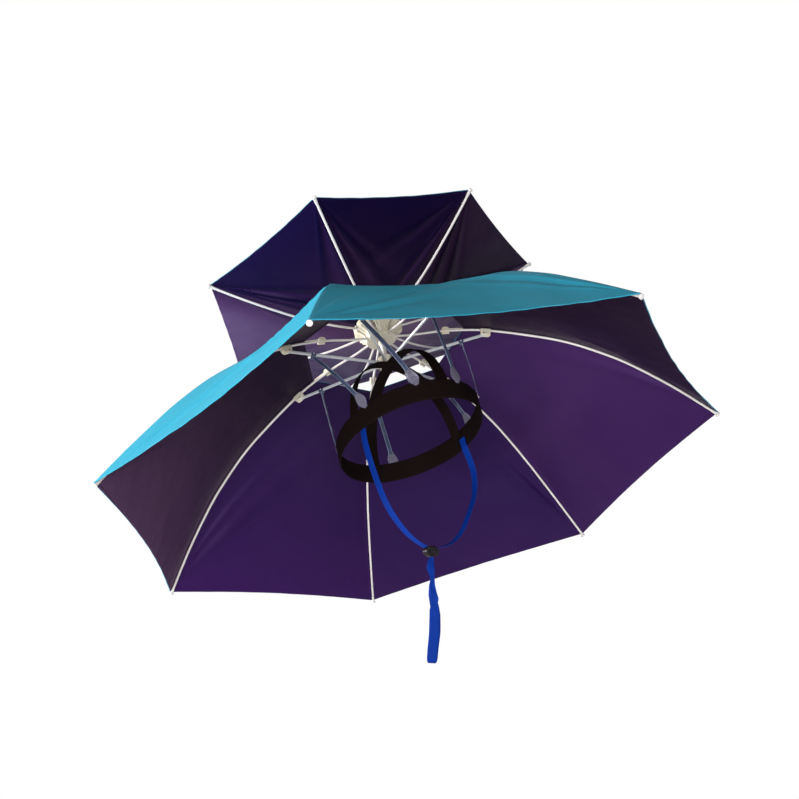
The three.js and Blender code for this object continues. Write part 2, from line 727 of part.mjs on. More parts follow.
// Chin strap: two flat strands from inside the band to the lock, and the doubled free end below it
function strand(route, joinAngle) {
  const hem = chinStrapPlace + chinStrapWidth / 2;
  const wall = bandInnerX * Math.sqrt(1 - (hem - bandForward) ** 2 / bandInnerY ** 2);
  const inset = Math.sign(route[0][0]) * (wall - clearance - facetRoom - chinStrapThickness / 2);
  const sewn = [chinStrapLap, chinStrapLap / 2, -chinStrapDip].map((z) => [inset, -chinStrapPlace, z]);
  const join = besideLock(joinAngle, clearance + chinStrapThickness / 2);
  const curve = smoothThrough([...sewn, ...route, join]);
  const forward = new THREE.Vector3(0, -1, 0);
  const across = (t) => forward.clone().lerp(lockFacing, t);
  return skin(strip(curve, chinStrapWidth, chinStrapThickness, chinStrapSteps, across));
}

add('chin_strap_right', strand(strapRouteRight, 180 - lockJoin), 'strap');
add('chin_strap_left', strand(strapRouteLeft, lockJoin), 'strap');

const tailCurve = smoothThrough([besideLock(-90, clearance), ...tailRoute]);
function tailAcross(t) {
  const a = tailTwist * Math.PI / 180 * Math.sin(Math.PI * t);
  return new THREE.Vector3(Math.cos(a), Math.sin(a), 0);
}
const tail = strip(tailCurve, chinStrapWidth, tailLayers * chinStrapThickness, tailSteps, tailAcross);
add('strap_tail', skin(tail), 'strap');

export default group;
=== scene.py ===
import math
import bpy
import numpy as np
from mathutils import Matrix, Vector


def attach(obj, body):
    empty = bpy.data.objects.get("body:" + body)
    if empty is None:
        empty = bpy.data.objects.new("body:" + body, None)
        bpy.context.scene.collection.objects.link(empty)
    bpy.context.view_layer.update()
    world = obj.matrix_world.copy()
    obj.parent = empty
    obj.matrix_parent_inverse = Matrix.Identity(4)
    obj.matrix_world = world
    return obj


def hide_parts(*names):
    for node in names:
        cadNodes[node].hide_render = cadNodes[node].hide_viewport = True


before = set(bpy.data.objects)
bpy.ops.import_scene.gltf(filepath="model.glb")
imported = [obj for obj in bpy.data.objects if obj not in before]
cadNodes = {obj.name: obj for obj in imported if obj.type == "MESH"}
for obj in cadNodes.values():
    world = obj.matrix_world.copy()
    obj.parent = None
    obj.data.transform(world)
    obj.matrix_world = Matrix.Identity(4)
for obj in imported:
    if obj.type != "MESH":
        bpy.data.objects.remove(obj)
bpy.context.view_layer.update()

# The hat's frame: metres, +Z along its axis, -Y its front, +X its left side as worn.
hat = {
    "ribCount": 7,
    "gap": 0.0003,  # between pieces that touch
    "hubBottom": 0.1557,
    "hubTop": 0.1797,
    "ribRoot": 0.0166,  # from the axis
    "ribRadius": 0.0015,
    "clothMiddle": 0.0029,  # of the cloth over a rib's middle line
}
step = 2 * math.pi / hat["ribCount"]


# Camera, with the photograph's point of view
camera = {
    "place": (-0.7532, -0.8192, -0.5846),
    "right": (0.79647, -0.56426, -0.21738),
    "up": (-0.14661, -0.52897, 0.83588),
    "lens": 46.95,
}


def newObject(name, data):
    obj = bpy.data.objects.new(name, data)
    bpy.context.scene.collection.objects.link(obj)
    return obj


def makeCamera():
    data = bpy.data.cameras.new("camera")
    data.lens = camera["lens"]
    data.clip_start = 0.05
    data.clip_end = 50
    obj = newObject("camera", data)
    right = Vector(camera["right"]).normalized()
    up = Vector(camera["up"])
    up = (up - up.dot(right) * right).normalized()
    turn = Matrix((right, up, right.cross(up))).transposed().to_4x4()
    obj.matrix_world = Matrix.Translation(camera["place"]) @ turn
    bpy.context.scene.camera = obj


makeCamera()
bpy.context.scene.view_settings.view_transform = "Standard"
print("camera placed")


# Small helpers for objects
def deselectAll():
    bpy.ops.object.select_all(action="DESELECT")


def activate(obj):
    deselectAll()
    obj.select_set(True)
    bpy.context.view_layer.objects.active = obj


def applyModifiers(obj):
    activate(obj)
    for modifier in list(obj.modifiers):
        bpy.ops.object.modifier_apply(modifier=modifier.name)


def settle(obj):  # its place and turn go into the mesh
    activate(obj)
    bpy.ops.object.transform_apply(location=True, rotation=True, scale=True)


def shadeSmooth(obj, degrees=35):
    activate(obj)
    bpy.ops.object.shade_smooth_by_angle(angle=math.radians(degrees))


def setMaterials(obj, *materials):
    if obj.data.materials:
        obj.data.materials.clear()
    for material in materials:
        obj.data.materials.append(material)


def finishPiece(obj, name, slotName, *nodes):
    obj.name = name
    obj.data.name = name
    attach(obj, "root")
    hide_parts(*nodes)
    return obj


def joinAll(first, *others):
    deselectAll()
    for obj in (first, *others):
        obj.select_set(True)
    bpy.context.view_layer.objects.active = first
    bpy.ops.object.join()
    return first


def meshObject(name, vertices, faces):
    mesh = bpy.data.meshes.new(name)
    mesh.from_pydata([tuple(v) for v in vertices], [], [tuple(f) for f in faces])
    mesh.update()
    return newObject(name, mesh)


def ribTurn(index):
    return -math.pi / 2 + index * step


def turnToRib(obj, index):  # round the hat's axis
    obj.data.transform(Matrix.Rotation(ribTurn(index), 4, "Z"))


def copyToRib(obj, index):
    copy = newObject(obj.name, obj.data.copy())
    turnToRib(copy, index)
    return copy


def pick(obj, kind, test):  # leaves the object in edit mode, with the faces or edges that test picks
    activate(obj)
    bpy.ops.object.mode_set(mode="EDIT")
    bpy.ops.mesh.select_mode(type=kind)
    bpy.ops.mesh.select_all(action="DESELECT")
    bpy.ops.object.mode_set(mode="OBJECT")
    for item in obj.data.polygons if kind == "FACE" else obj.data.edges:
        item.select = test(item)
    bpy.ops.object.mode_set(mode="EDIT")


def leaveEdit():
    bpy.ops.object.mode_set(mode="OBJECT")


def insetFaces(obj, test, thickness, depth=0):
    pick(obj, "FACE", test)
    bpy.ops.mesh.inset(thickness=thickness, depth=depth, use_boundary=True)
    leaveEdit()


def roundCorners(obj, offset, segments, side=0):  # a box's edges along y, above (1), below (-1) or all (0)
    def isCorner(edge):
        a, b = (obj.data.vertices[n].co for n in edge.vertices)
        return abs(a.y - b.y) > 0.001 and a.z * side >= 0 and b.z * side >= 0

    pick(obj, "EDGE", isCorner)
    bpy.ops.mesh.bevel(offset=offset, segments=segments, affect="EDGES")
    leaveEdit()


def roundEdges(obj, width, segments=2, degrees=35):
    rounding = obj.modifiers.new("rounding", "BEVEL")
    rounding.width = width
    rounding.segments = segments
    rounding.limit_method = "ANGLE"
    rounding.angle_limit = math.radians(degrees)
    applyModifiers(obj)


def newSolid(add, **settings):
    deselectAll()
    add(**settings)
    made = bpy.context.active_object
    settle(made)
    return made


def turnTo(axis):  # from +Z
    return Vector((0, 0, 1)).rotation_difference(Vector(axis)).to_euler()


def makeBox(size, middle=(0, 0, 0)):
    return newSolid(bpy.ops.mesh.primitive_cube_add, size=1, scale=size, location=middle)


def slotBox(width, edge, way):  # what cuts a slot along x, open upwards (1) or downwards (-1)
    return makeBox((0.03, width, 0.02), (0, 0, edge + way * 0.01))


def makeCylinder(radius, depth, middle, axis=(0, 0, 1), vertices=32):
    return newSolid(bpy.ops.mesh.primitive_cylinder_add, vertices=vertices, radius=radius, depth=depth,
                    location=middle, rotation=turnTo(axis))


def makeCone(startRadius, endRadius, start, end, vertices):
    run = end - start
    return newSolid(bpy.ops.mesh.primitive_cone_add, vertices=vertices, radius1=startRadius,
                    radius2=endRadius, depth=run.length, location=(start + end) / 2, rotation=turnTo(run))


def makePin(radius, length, spot, vertices, rounding, material):  # across a rib
    pin = makeCylinder(radius, length, spot, (0, 1, 0), vertices)
    roundEdges(pin, rounding)
    setMaterials(pin, material)
    return pin


def cutAway(obj, *cutters):
    for cutter in cutters:
        cutting = obj.modifiers.new("cut", "BOOLEAN")
        cutting.operation = "DIFFERENCE"
        cutting.solver = "EXACT"
        cutting.object = cutter
        if cutter.data.materials:
            cutting.material_mode = "TRANSFER"
    applyModifiers(obj)
    for cutter in cutters:
        bpy.data.objects.remove(cutter, do_unlink=True)


def stand(obj, spot, along, away):  # from its own axes (along, across, away) to its place
    along, away = Vector(along).normalized(), Vector(away).normalized()
    turn = Matrix((along, away.cross(along), away)).transposed().to_4x4()
    obj.data.transform(Matrix.Translation(spot) @ turn)


def cadCopy(node, bevel=0, segments=2):  # a merged and bevelled copy of a node's solid
    activate(cadNodes[node])
    bpy.ops.object.duplicate(linked=False)
    obj = bpy.context.active_object
    obj.parent = None
    obj.matrix_world = Matrix()
    for key in list(obj.keys()):
        del obj[key]
    bpy.ops.object.mode_set(mode="EDIT")
    bpy.ops.mesh.select_all(action="SELECT")
    bpy.ops.mesh.remove_doubles(threshold=0.00002)
    bpy.ops.mesh.dissolve_limited(angle_limit=math.radians(1))
    leaveEdit()
    if bevel:
        roundEdges(obj, bevel, segments)
    return obj


def smoothPath(points, perSpan=8):  # an even, rounded line through given points
    rows = [Vector(p) for p in points]
    rows = [2 * rows[0] - rows[1]] + rows + [2 * rows[-1] - rows[-2]]
    path = []
    for a, b, c, d in zip(rows, rows[1:], rows[2:], rows[3:]):
        before, here, after = (b - a).length ** 0.5, (c - b).length ** 0.5, (d - c).length ** 0.5
        leave = ((b - a) / before - (c - a) / (before + here) + (c - b) / here) * here
        reach = ((c - b) / here - (d - b) / (here + after) + (d - c) / after) * here
        for n in range(perSpan):
            u = n / perSpan
            place = b * (2 * u**3 - 3 * u**2 + 1) + leave * (u**3 - 2 * u**2 + u)
            path.append(place + c * (3 * u**2 - 2 * u**3) + reach * (u**3 - u**2))
    return path + [rows[-2]]


def pathLength(path):
    return sum((b - a).length for a, b in zip(path, path[1:]))


# A flat strip along a path. across(t) is the direction of its width, share(t) scales its width,
# shift(t) moves it sideways, and lift(x, t) moves its face out, with x from -1 to 1 over the width.
def wovenStrip(name, path, width, thickness, across, share=lambda t: 1, lift=lambda x, t: 0,
               shift=lambda t: 0, columns=10, closed=False):
    total = pathLength(path)
    gone = 0
    rings = []
    lengths = []
    for n, place in enumerate(path):
        before, after = path[max(n - 1, 0)], path[min(n + 1, len(path) - 1)]
        gone += (place - before).length
        t = gone / total
        if closed:
            before, after = path[n - 1], path[(n + 1) % len(path)]
        tangent = (after - before).normalized()
        side = across(t)
        side = (side - side.dot(tangent) * tangent).normalized()
        face = tangent.cross(side)
        ring = []
        for sign in (1, -1):
            for c in range(columns + 1):
                x = sign * (2 * c / columns - 1)
                softness = math.sqrt(max(0, 1 - (max(0, abs(x) - 0.9) / 0.1) ** 2))  # soft selvedge
                out = face * (lift(x, t) + sign * thickness / 2 * (0.35 + 0.65 * softness))
                ring.append(place + side * (x * width / 2 * share(t) + shift(t)) + out)
        rings.append(ring)
        lengths.append(gone)
    count = len(rings[0])
    vertices = [v for ring in rings for v in ring]
    faces = []
    for n in range(len(rings) if closed else len(rings) - 1):
        m = (n + 1) % len(rings)
        for c in range(count):
            d = (c + 1) % count
            faces.append((n * count + c, n * count + d, m * count + d, m * count + c))
    if not closed:
        faces.append(tuple(range(count - 1, -1, -1)))
        faces.append(tuple((len(rings) - 1) * count + c for c in range(count)))
    obj = meshObject(name, vertices, faces)
    layer = obj.data.uv_layers.new(name="weave")
    for polygon in obj.data.polygons:
        for loop in polygon.loop_indices:
            n, c = divmod(obj.data.loops[loop].vertex_index, count)
            x = c / columns if c <= columns else 2 - (c - 1) / columns
            layer.data[loop].uv = (x * width, lengths[n])
    shadeSmooth(obj, 60)
    return obj


# Shader nodes and groups, each group built once
def addNode(tree, kind, **settings):
    made = tree.nodes.new(kind)
    for key, value in settings.items():
        setattr(made, key, value)
    return made


def feed(tree, socket, value):  # a link from another node, or a fixed value
    if isinstance(value, bpy.types.NodeSocket):
        tree.links.new(value, socket)
    else:
        socket.default_value = value


def compute(tree, operation, *values):
    made = addNode(tree, "ShaderNodeMath", operation=operation)
    for socket, value in zip(made.inputs, values):
        feed(tree, socket, value)
    return made.outputs[0]


def softNoise(tree, vector, scale, detail=2):
    made = addNode(tree, "ShaderNodeTexNoise")
    for label, value in (("Vector", vector), ("Scale", scale), ("Detail", detail)):
        feed(tree, made.inputs[label], value)
    return made.outputs["Fac"]


def axes(tree, vector):
    made = addNode(tree, "ShaderNodeSeparateXYZ")
    feed(tree, made.inputs[0], vector)
    return made.outputs


def clamped(tree, value):  # between 0 and 1
    made = addNode(tree, "ShaderNodeClamp")
    feed(tree, made.inputs[0], value)
    return made.outputs[0]


def mixColours(tree, factor, a, b):
    made = addNode(tree, "ShaderNodeMix", data_type="RGBA")
    feed(tree, made.inputs["Factor"], factor)
    for socket, value in ((made.inputs[6], a), (made.inputs[7], b)):
        feed(tree, socket, (*value, 1) if isinstance(value, tuple) else value)
    return made.outputs[2]


def addBump(tree, shader, height, distance, strength, under=None):
    bump = addNode(tree, "ShaderNodeBump")
    for label, value in (("Height", height), ("Distance", distance), ("Strength", strength)):
        feed(tree, bump.inputs[label], value)
    if under:
        feed(tree, bump.inputs["Normal"], under)
    feed(tree, shader.inputs["Normal"], bump.outputs["Normal"])
    return bump.outputs["Normal"]


def attribute(tree, name):
    return addNode(tree, "ShaderNodeAttribute", attribute_name=name).outputs["Fac"]


def objectPlace(tree):
    return addNode(tree, "ShaderNodeTexCoord").outputs["Object"]


def alongCloth(tree):  # metres across and along the cloth
    return addNode(tree, "ShaderNodeUVMap", uv_map="weave").outputs["UV"]


def newGroup(name, inputs, *outputs):  # inputs by name, None for a vector
    tree = bpy.data.node_groups.new(name, "ShaderNodeTree")
    for label, value in inputs.items():
        kind = "NodeSocketVector" if value is None else "NodeSocketFloat"
        socket = tree.interface.new_socket(name=label, in_out="INPUT", socket_type=kind)
        if value is not None:
            socket.default_value = value
    for label in outputs:
        tree.interface.new_socket(name=label, in_out="OUTPUT", socket_type="NodeSocketFloat")
    return tree, tree.nodes.new("NodeGroupInput").outputs, tree.nodes.new("NodeGroupOutput").inputs


def useGroup(tree, group, **values):
    made = addNode(tree, "ShaderNodeGroup", node_tree=group)
    for label, value in values.items():
        feed(tree, made.inputs[label], value)
    return made.outputs


def makeMottle():  # slow, soft variation over a surface, about 0.5
    tree, entry, leave = newGroup("softMottle", {"Vector": None, "Scale": 20.0, "Contrast": 1.0}, "Value")
    centred = compute(tree, "SUBTRACT", softNoise(tree, entry["Vector"], entry["Scale"], 4), 0.5)
    feed(tree, leave["Value"], compute(tree, "MULTIPLY_ADD", centred, entry["Contrast"], 0.5))
    return tree


def makeWeave():  # over-and-under threads
    inputs = {"Vector": None, "Across": 0.0004, "Along": 0.0004}
    tree, entry, leave = newGroup("threadWeave", inputs, "Height", "Shade")
    waves = []
    for axis, label in (("X", "Across"), ("Y", "Along")):
        turns = compute(tree, "DIVIDE", axes(tree, entry["Vector"])[axis], entry[label])
        waves.append(compute(tree, "SINE", compute(tree, "MULTIPLY", turns, 2 * math.pi)))
    height = compute(tree, "MULTIPLY_ADD", compute(tree, "MULTIPLY", *waves), 0.5, 0.5)
    fuzz = softNoise(tree, entry["Vector"], 900)
    # Shade: random fuzz, and lighter where threads rise; as a colour the rise is a painted highlight
    shade = compute(tree, "MULTIPLY_ADD", fuzz, 0.6, compute(tree, "MULTIPLY", height, 0.4))
    feed(tree, leave["Height"], height)
    feed(tree, leave["Shade"], shade)
    return tree


def makeStitch():  # a row of stitches at one distance from a seam or edge
    inputs = {"Distance": 1.0, "Along": 0.0, "Offset": 0.002, "Pitch": 0.003}
    tree, entry, leave = newGroup("stitchRow", inputs, "Mask")
    away = compute(tree, "SUBTRACT", entry["Distance"], entry["Offset"])
    inLine = compute(tree, "LESS_THAN", compute(tree, "ABSOLUTE", away), 0.00032)
    beat = compute(tree, "FRACT", compute(tree, "DIVIDE", entry["Along"], entry["Pitch"]))
    inStitch = compute(tree, "LESS_THAN", beat, 0.7)
    feed(tree, leave["Mask"], compute(tree, "MULTIPLY", inLine, inStitch))
    return tree


def makeScuffs():  # fine wear on hard pieces: a mask and a height
    tree, entry, leave = newGroup("fineScuffs", {"Vector": None, "Scale": 60.0}, "Mask", "Height")
    broad = softNoise(tree, entry["Vector"], entry["Scale"])
    fine = softNoise(tree, entry["Vector"], compute(tree, "MULTIPLY", entry["Scale"], 9), 6)
    feed(tree, leave["Mask"], compute(tree, "MULTIPLY", compute(tree, "MULTIPLY", broad, fine), 2))
    feed(tree, leave["Height"], fine)
    return tree


mottleGroup = makeMottle()
weaveGroup = makeWeave()
stitchGroup = makeStitch()
scuffGroup = makeScuffs()


def newMaterial(name, settings):
    material = bpy.data.materials.new(name)
    material.use_nodes = True
    tree = material.node_tree
    shader = tree.nodes["Principled BSDF"]
    for socket, value in settings.items():
        shader.inputs[socket].default_value = value
    return material, tree, shader


def paint(tree, shader, colour, mask, change, settings):  # the mask also changes the roughness a little
    feed(tree, shader.inputs["Base Color"], colour)
    rough = compute(tree, "MULTIPLY_ADD", mask, change, settings["Roughness"] - change / 2)
    feed(tree, shader.inputs["Roughness"], rough)


# Cloth of both canopies: teal outside, satin inside that turns from violet to plum. The satin's colour also
# holds painted light: shaded and lit copies of its colours and a pale painted sheen highlight
cloth = {
    "teal": (0.022, 0.246, 0.352),
    "tealDeep": (0.017, 0.222, 0.324),
    "tealThread": (0.07, 0.30, 0.42),
    "violetShaded": (0.0025, 0.0010, 0.020),
    "violetLit": (0.041, 0.009, 0.092),
    "plumShaded": (0.0040, 0.0010, 0.0060),
    "plumLit": (0.078, 0.035, 0.085),
    "paintedSheenLilac": (0.17, 0.115, 0.22),
    "satinThread": (0.02, 0.010, 0.04),
    "pitch": 0.0007,
    "stitch": 0.0032,
    "seamRow": 0.0026,  # of stitches, from the seam
    "hemRow": 0.0040,
}


def clothMaterial(name, settings, satin):
    material, tree, shader = newMaterial(name, settings)
    spot, coordinates = objectPlace(tree), alongCloth(tree)
    mottle = useGroup(tree, mottleGroup, Vector=spot, Scale=7.0, Contrast=1.4)["Value"]
    weave = useGroup(tree, weaveGroup, Vector=coordinates, Across=cloth["pitch"], Along=cloth["pitch"])
    if satin:
        drift = compute(tree, "MULTIPLY_ADD", mottle, 0.24, -0.12)
        # hue from violet to plum: partly the satin's two-colour weave, partly painted sheen set per panel
        shotAndSheenHue = clamped(tree, compute(tree, "ADD", attribute(tree, "shotAndSheenHue"), drift))
        # painted light and shade: from the shaded colours at 0 to the lit ones at 1
        lit = clamped(tree, compute(tree, "MULTIPLY_ADD", drift, 0.5, attribute(tree, "lit")))
        deep = mixColours(tree, shotAndSheenHue, cloth["violetShaded"], cloth["plumShaded"])
        pale = mixColours(tree, shotAndSheenHue, cloth["violetLit"], cloth["plumLit"])
        # painted sheen highlight: past 1 the lit colour turns to a pale sheen colour
        over = clamped(tree, compute(tree, "SUBTRACT", attribute(tree, "lit"), 1.0))
        base = mixColours(tree, over, mixColours(tree, lit, deep, pale), cloth["paintedSheenLilac"])
        thread = cloth["satinThread"]
    else:
        base = mixColours(tree, mottle, cloth["teal"], cloth["tealDeep"])
        thread = cloth["tealThread"]
    rows = []
    for span, axis, offset in (("seamSpan", "Y", cloth["seamRow"]), ("hemSpan", "X", cloth["hemRow"])):
        row = useGroup(tree, stitchGroup, Distance=attribute(tree, span), Along=axes(tree, coordinates)[axis],
                       Offset=offset, Pitch=cloth["stitch"])
        rows.append(row["Mask"])
    stitches = compute(tree, "MAXIMUM", *rows)
    paint(tree, shader, mixColours(tree, stitches, base, thread), weave["Shade"], 0.16, settings)
    soft = addBump(tree, shader, softNoise(tree, spot, 38, 3), 0.0016, 0.35)
    woven = addBump(tree, shader, weave["Height"], 0.00006, 0.6, soft)
    addBump(tree, shader, stitches, 0.0004, 0.8, woven)
    return material


tealSettings = {"Roughness": 0.7, "Sheen Weight": 0.01, "Sheen Roughness": 0.4, "Specular IOR Level": 0.08}
tealCloth = clothMaterial("tealCloth", tealSettings, False)
satinSettings = {
    "Roughness": 0.38,
    "Sheen Weight": 0.012,
    "Sheen Roughness": 0.3,
    "Sheen Tint": (0.5, 0.35, 0.9, 1),
    "Specular IOR Level": 0.14,
    "Specular Tint": (0.62, 0.45, 1.0, 1),
}
purpleSatin = clothMaterial("purpleSatin", satinSettings, True)


def plasticMaterial(name, colour, worn, settings, scale=60.0):
    material, tree, shader = newMaterial(name, settings)
    scuffs = useGroup(tree, scuffGroup, Vector=objectPlace(tree), Scale=scale)
    paint(tree, shader, mixColours(tree, scuffs["Mask"], colour, worn), scuffs["Mask"], 0.2, settings)
    addBump(tree, shader, scuffs["Height"], 0.00008, 0.5)
    return material


creamPlastic = plasticMaterial("creamPlastic", (0.66, 0.63, 0.53), (0.56, 0.51, 0.38),
                               {"Roughness": 0.4, "Subsurface Weight": 0.15, "Subsurface Scale": 0.003})
whiteRod = plasticMaterial("whiteRod", (0.66, 0.63, 0.62), (0.54, 0.50, 0.48), {"Roughness": 0.35})
legPlastic = plasticMaterial("legPlastic", (0.035, 0.045, 0.085), (0.075, 0.10, 0.17),
                             {"Roughness": 0.25, "Coat Weight": 0.5, "Coat Roughness": 0.12})
legEdge = plasticMaterial("legEdge", (0.16, 0.20, 0.30), (0.24, 0.29, 0.40),
                          {"Roughness": 0.25, "Coat Weight": 0.5, "Coat Roughness": 0.12})
footPlastic = plasticMaterial("footPlastic", (0.22, 0.21, 0.30), (0.32, 0.31, 0.40),
                              {"Roughness": 0.18, "Transmission Weight": 0.6, "IOR": 1.45})
lockPlastic = plasticMaterial("lockPlastic", (0.0040, 0.0030, 0.0045), (0.012, 0.009, 0.012),
                              {"Roughness": 0.34, "Specular IOR Level": 0.25})
# painted shade: the lock's plastic made darker and matte for inside the hole
lockHole = plasticMaterial("lockHole", (0.001, 0.001, 0.001), (0.003, 0.003, 0.003), {"Roughness": 0.7})
zincSteel = plasticMaterial("zincSteel", (0.74, 0.76, 0.78), (0.60, 0.62, 0.65),
                            {"Roughness": 0.32, "Metallic": 0.35}, 90.0)
darkSteel = plasticMaterial("darkSteel", (0.10, 0.09, 0.08), (0.2, 0.18, 0.15),
                            {"Roughness": 0.4, "Metallic": 0.6}, 90.0)


def wovenBandMaterial(name, colour, lit, pitchAcross, pitchAlong, settings):
    material, tree, shader = newMaterial(name, settings)
    weave = useGroup(tree, weaveGroup, Vector=alongCloth(tree), Across=pitchAcross, Along=pitchAlong)
    # the colour turns lighter on raised threads, a painted highlight, and varies with random fuzz
    paint(tree, shader, mixColours(tree, weave["Shade"], colour, lit), weave["Height"], 0.1, settings)
    addBump(tree, shader, weave["Height"], 0.00025, 0.7)
    return material


blackElastic = wovenBandMaterial("blackElastic", (0.0032, 0.0014, 0.0012), (0.009, 0.005, 0.0045),
                                0.0011, 0.0014, {"Roughness": 0.85, "Specular IOR Level": 0.05})
blueRibbon = wovenBandMaterial("blueRibbon", (0.0, 0.013, 0.15), (0.001, 0.032, 0.26),
                               0.0009, 0.0010, {"Roughness": 0.6, "Specular IOR Level": 0.08})
print("materials made")


# Chin strap: two strands from inside the headband to the cord lock, and the doubled free end
chinStrap = {
    "width": 0.010,
    "thickness": 0.0011,
    "bandInset": 0.0767,  # from the axis to the strands sewn inside the band
    "place": -0.015,
    "lap": 0.012,
    "dip": -0.0005,
    "lockPlace": (0, 0.0076, -0.137),
    "lockWidth": 0.019,
    "lockHeight": 0.0125,
    "lockDepth": 0.008,
    "lockJoin": 40,
    "tailTwist": -38,
    "tailThickness": 0.0008,  # of each of its two ribbons
    "tailCurl": 0.0022,
    "tailWave": 0.0006,
    "rightRoute": [
        (-0.0764, -0.0134, -0.012), (-0.0748, -0.0116, -0.022), (-0.0724, -0.0097, -0.034),
        (-0.0688, -0.0073, -0.048), (-0.0650, -0.0052, -0.062), (-0.0585, -0.0018, -0.080),
        (-0.0506, 0.0008, -0.095), (-0.0410, 0.0030, -0.108), (-0.0290, 0.0050, -0.120),
        (-0.0165, 0.0062, -0.1282),
    ],
    "leftRoute": [
        (0.0806, -0.0134, -0.012), (0.0836, -0.0116, -0.022), (0.0852, -0.0097, -0.034),
        (0.0840, -0.0073, -0.048), (0.0795, -0.0046, -0.064), (0.0670, -0.0012, -0.086),
        (0.0576, 0.0014, -0.101), (0.0466, 0.0039, -0.1145), (0.0335, 0.0058, -0.1245),
        (0.0200, 0.0066, -0.130),
    ],
    "tailRoute": [
        (0.0005, 0.0153, -0.157), (0.0012, 0.0206, -0.171), (0.0016, 0.0260, -0.184),
        (0.0024, 0.0306, -0.197), (0.0026, 0.0358, -0.210), (0.0022, 0.0410, -0.223),
        (0.0010, 0.0464, -0.236), (0, 0.0530, -0.2524),
    ],
}
lockCentre = Vector(chinStrap["lockPlace"])
lockSide = Vector((1, 0, 0))
lockUp = lockCentre - Vector(chinStrap["tailRoute"][0])
lockUp = Vector((0, lockUp.y, lockUp.z)).normalized()
lockFacing = lockSide.cross(lockUp)


def besideLock(degrees, room):  # a point just outside the lock's oval
    a = math.radians(degrees)
    out = lockSide * (chinStrap["lockWidth"] / 2 + room) * math.cos(a)
    return lockCentre + out + lockUp * (chinStrap["lockHeight"] / 2 + room) * math.sin(a)


def makeStrand(name, node, side, route, joinAngle):
    inset = side * chinStrap["bandInset"]
    heights = (chinStrap["lap"], chinStrap["lap"] / 2, chinStrap["dip"])
    sewn = [(inset, chinStrap["place"], height) for height in heights]
    join = besideLock(joinAngle, hat["gap"] + chinStrap["thickness"] / 2)
    path = smoothPath([*sewn, *route, join])
    forward = Vector((0, -1, 0))
    strand = wovenStrip(name, path, chinStrap["width"], chinStrap["thickness"],
                        lambda t: forward.lerp(lockFacing, t))
    setMaterials(strand, blueRibbon)
    finishPiece(strand, name, "ribbon", node)
    return strand, path


def tableAt(rows, t, column=1):  # straight between the rows of a small table whose first column is t
    return float(np.interp(t, [row[0] for row in rows], [row[column] for row in rows]))


# The free end's two ribbons, gathered under the lock: share of the end, sideways place, width, lift
tailLayers = {
    "front": [
        (0, 0, 0.0035, 0.0006), (0.035, -0.0016, 0.0085, 0.0012), (0.10, -0.0018, 0.0095, 0.0016),
        (0.15, -0.0008, 0.0070, 0.0012), (0.19, 0.0002, 0.0052, 0.0008), (0.27, 0.0004, 0.0056, 0.0008),
        (0.33, 0.0018, 0.0062, 0.0010), (0.40, 0.0030, 0.0080, 0.0012), (0.45, 0.0016, 0.0080, 0.0010),
        (0.50, 0.0010, 0.0104, 0.0009), (0.60, 0.0010, 0.0112, 0.0008), (0.80, 0.0008, 0.0112, 0.0009),
        (0.955, 0.0002, 0.0110, 0.0010), (0.985, 0.0001, 0.0100, 0.0010), (1, 0, 0.0076, 0.0011),
    ],
    "back": [
        (0, 0, 0.0030, -0.0006), (0.05, 0.0022, 0.0040, -0.0008), (0.12, 0.0028, 0.0034, -0.0010),
        (0.19, 0.0010, 0.0040, -0.0007), (0.27, -0.0010, 0.0052, -0.0007), (0.36, -0.0004, 0.0076, -0.0010),
        (0.46, 0.0016, 0.0098, -0.0008), (0.55, 0.0026, 0.0110, -0.0008), (0.70, 0.0028, 0.0112, -0.0007),
        (0.955, 0.0014, 0.0110, -0.0010), (0.985, 0.0012, 0.0100, -0.0010), (1, 0.0010, 0.0076, -0.0010),
    ],
}


def makeTail():
    start = besideLock(-90, hat["gap"])
    path = smoothPath([start, *chinStrap["tailRoute"]], 16)
    twist = math.radians(chinStrap["tailTwist"])

    def across(t):
        a = twist * min(1, t / 0.2)
        return Vector((math.cos(a), math.sin(a), 0))

    def makeLayer(rows, sign):
        def share(t):
            return tableAt(rows, t, 2) / chinStrap["width"]

        def crinkle(x, t):  # edges curl where the ribbon is gathered
            curl = chinStrap["tailCurl"] * max(0, 1 - share(t)) * x * x
            wave = chinStrap["tailWave"] * math.sin(46 * t + 2 * sign) * x
            return sign * (abs(tableAt(rows, t, 3)) + curl) + wave * (1 - t)

        return wovenStrip("layer", path, chinStrap["width"], chinStrap["tailThickness"], across, share,
                          crinkle, lambda t: tableAt(rows, t, 1))

    tail = joinAll(makeLayer(tailLayers["front"], 1), makeLayer(tailLayers["back"], -1))
    setMaterials(tail, blueRibbon)
    finishPiece(tail, "strapTail", "ribbon", "strap_tail")
    return tail, path


rightStrand, rightPath = makeStrand("strandRight", "chin_strap_right", -1, chinStrap["rightRoute"],
                                    180 - chinStrap["lockJoin"])
leftStrand, leftPath = makeStrand("strandLeft", "chin_strap_left", 1, chinStrap["leftRoute"],
                                  chinStrap["lockJoin"])
strapTail, tailPath = makeTail()
print("chin strap made")


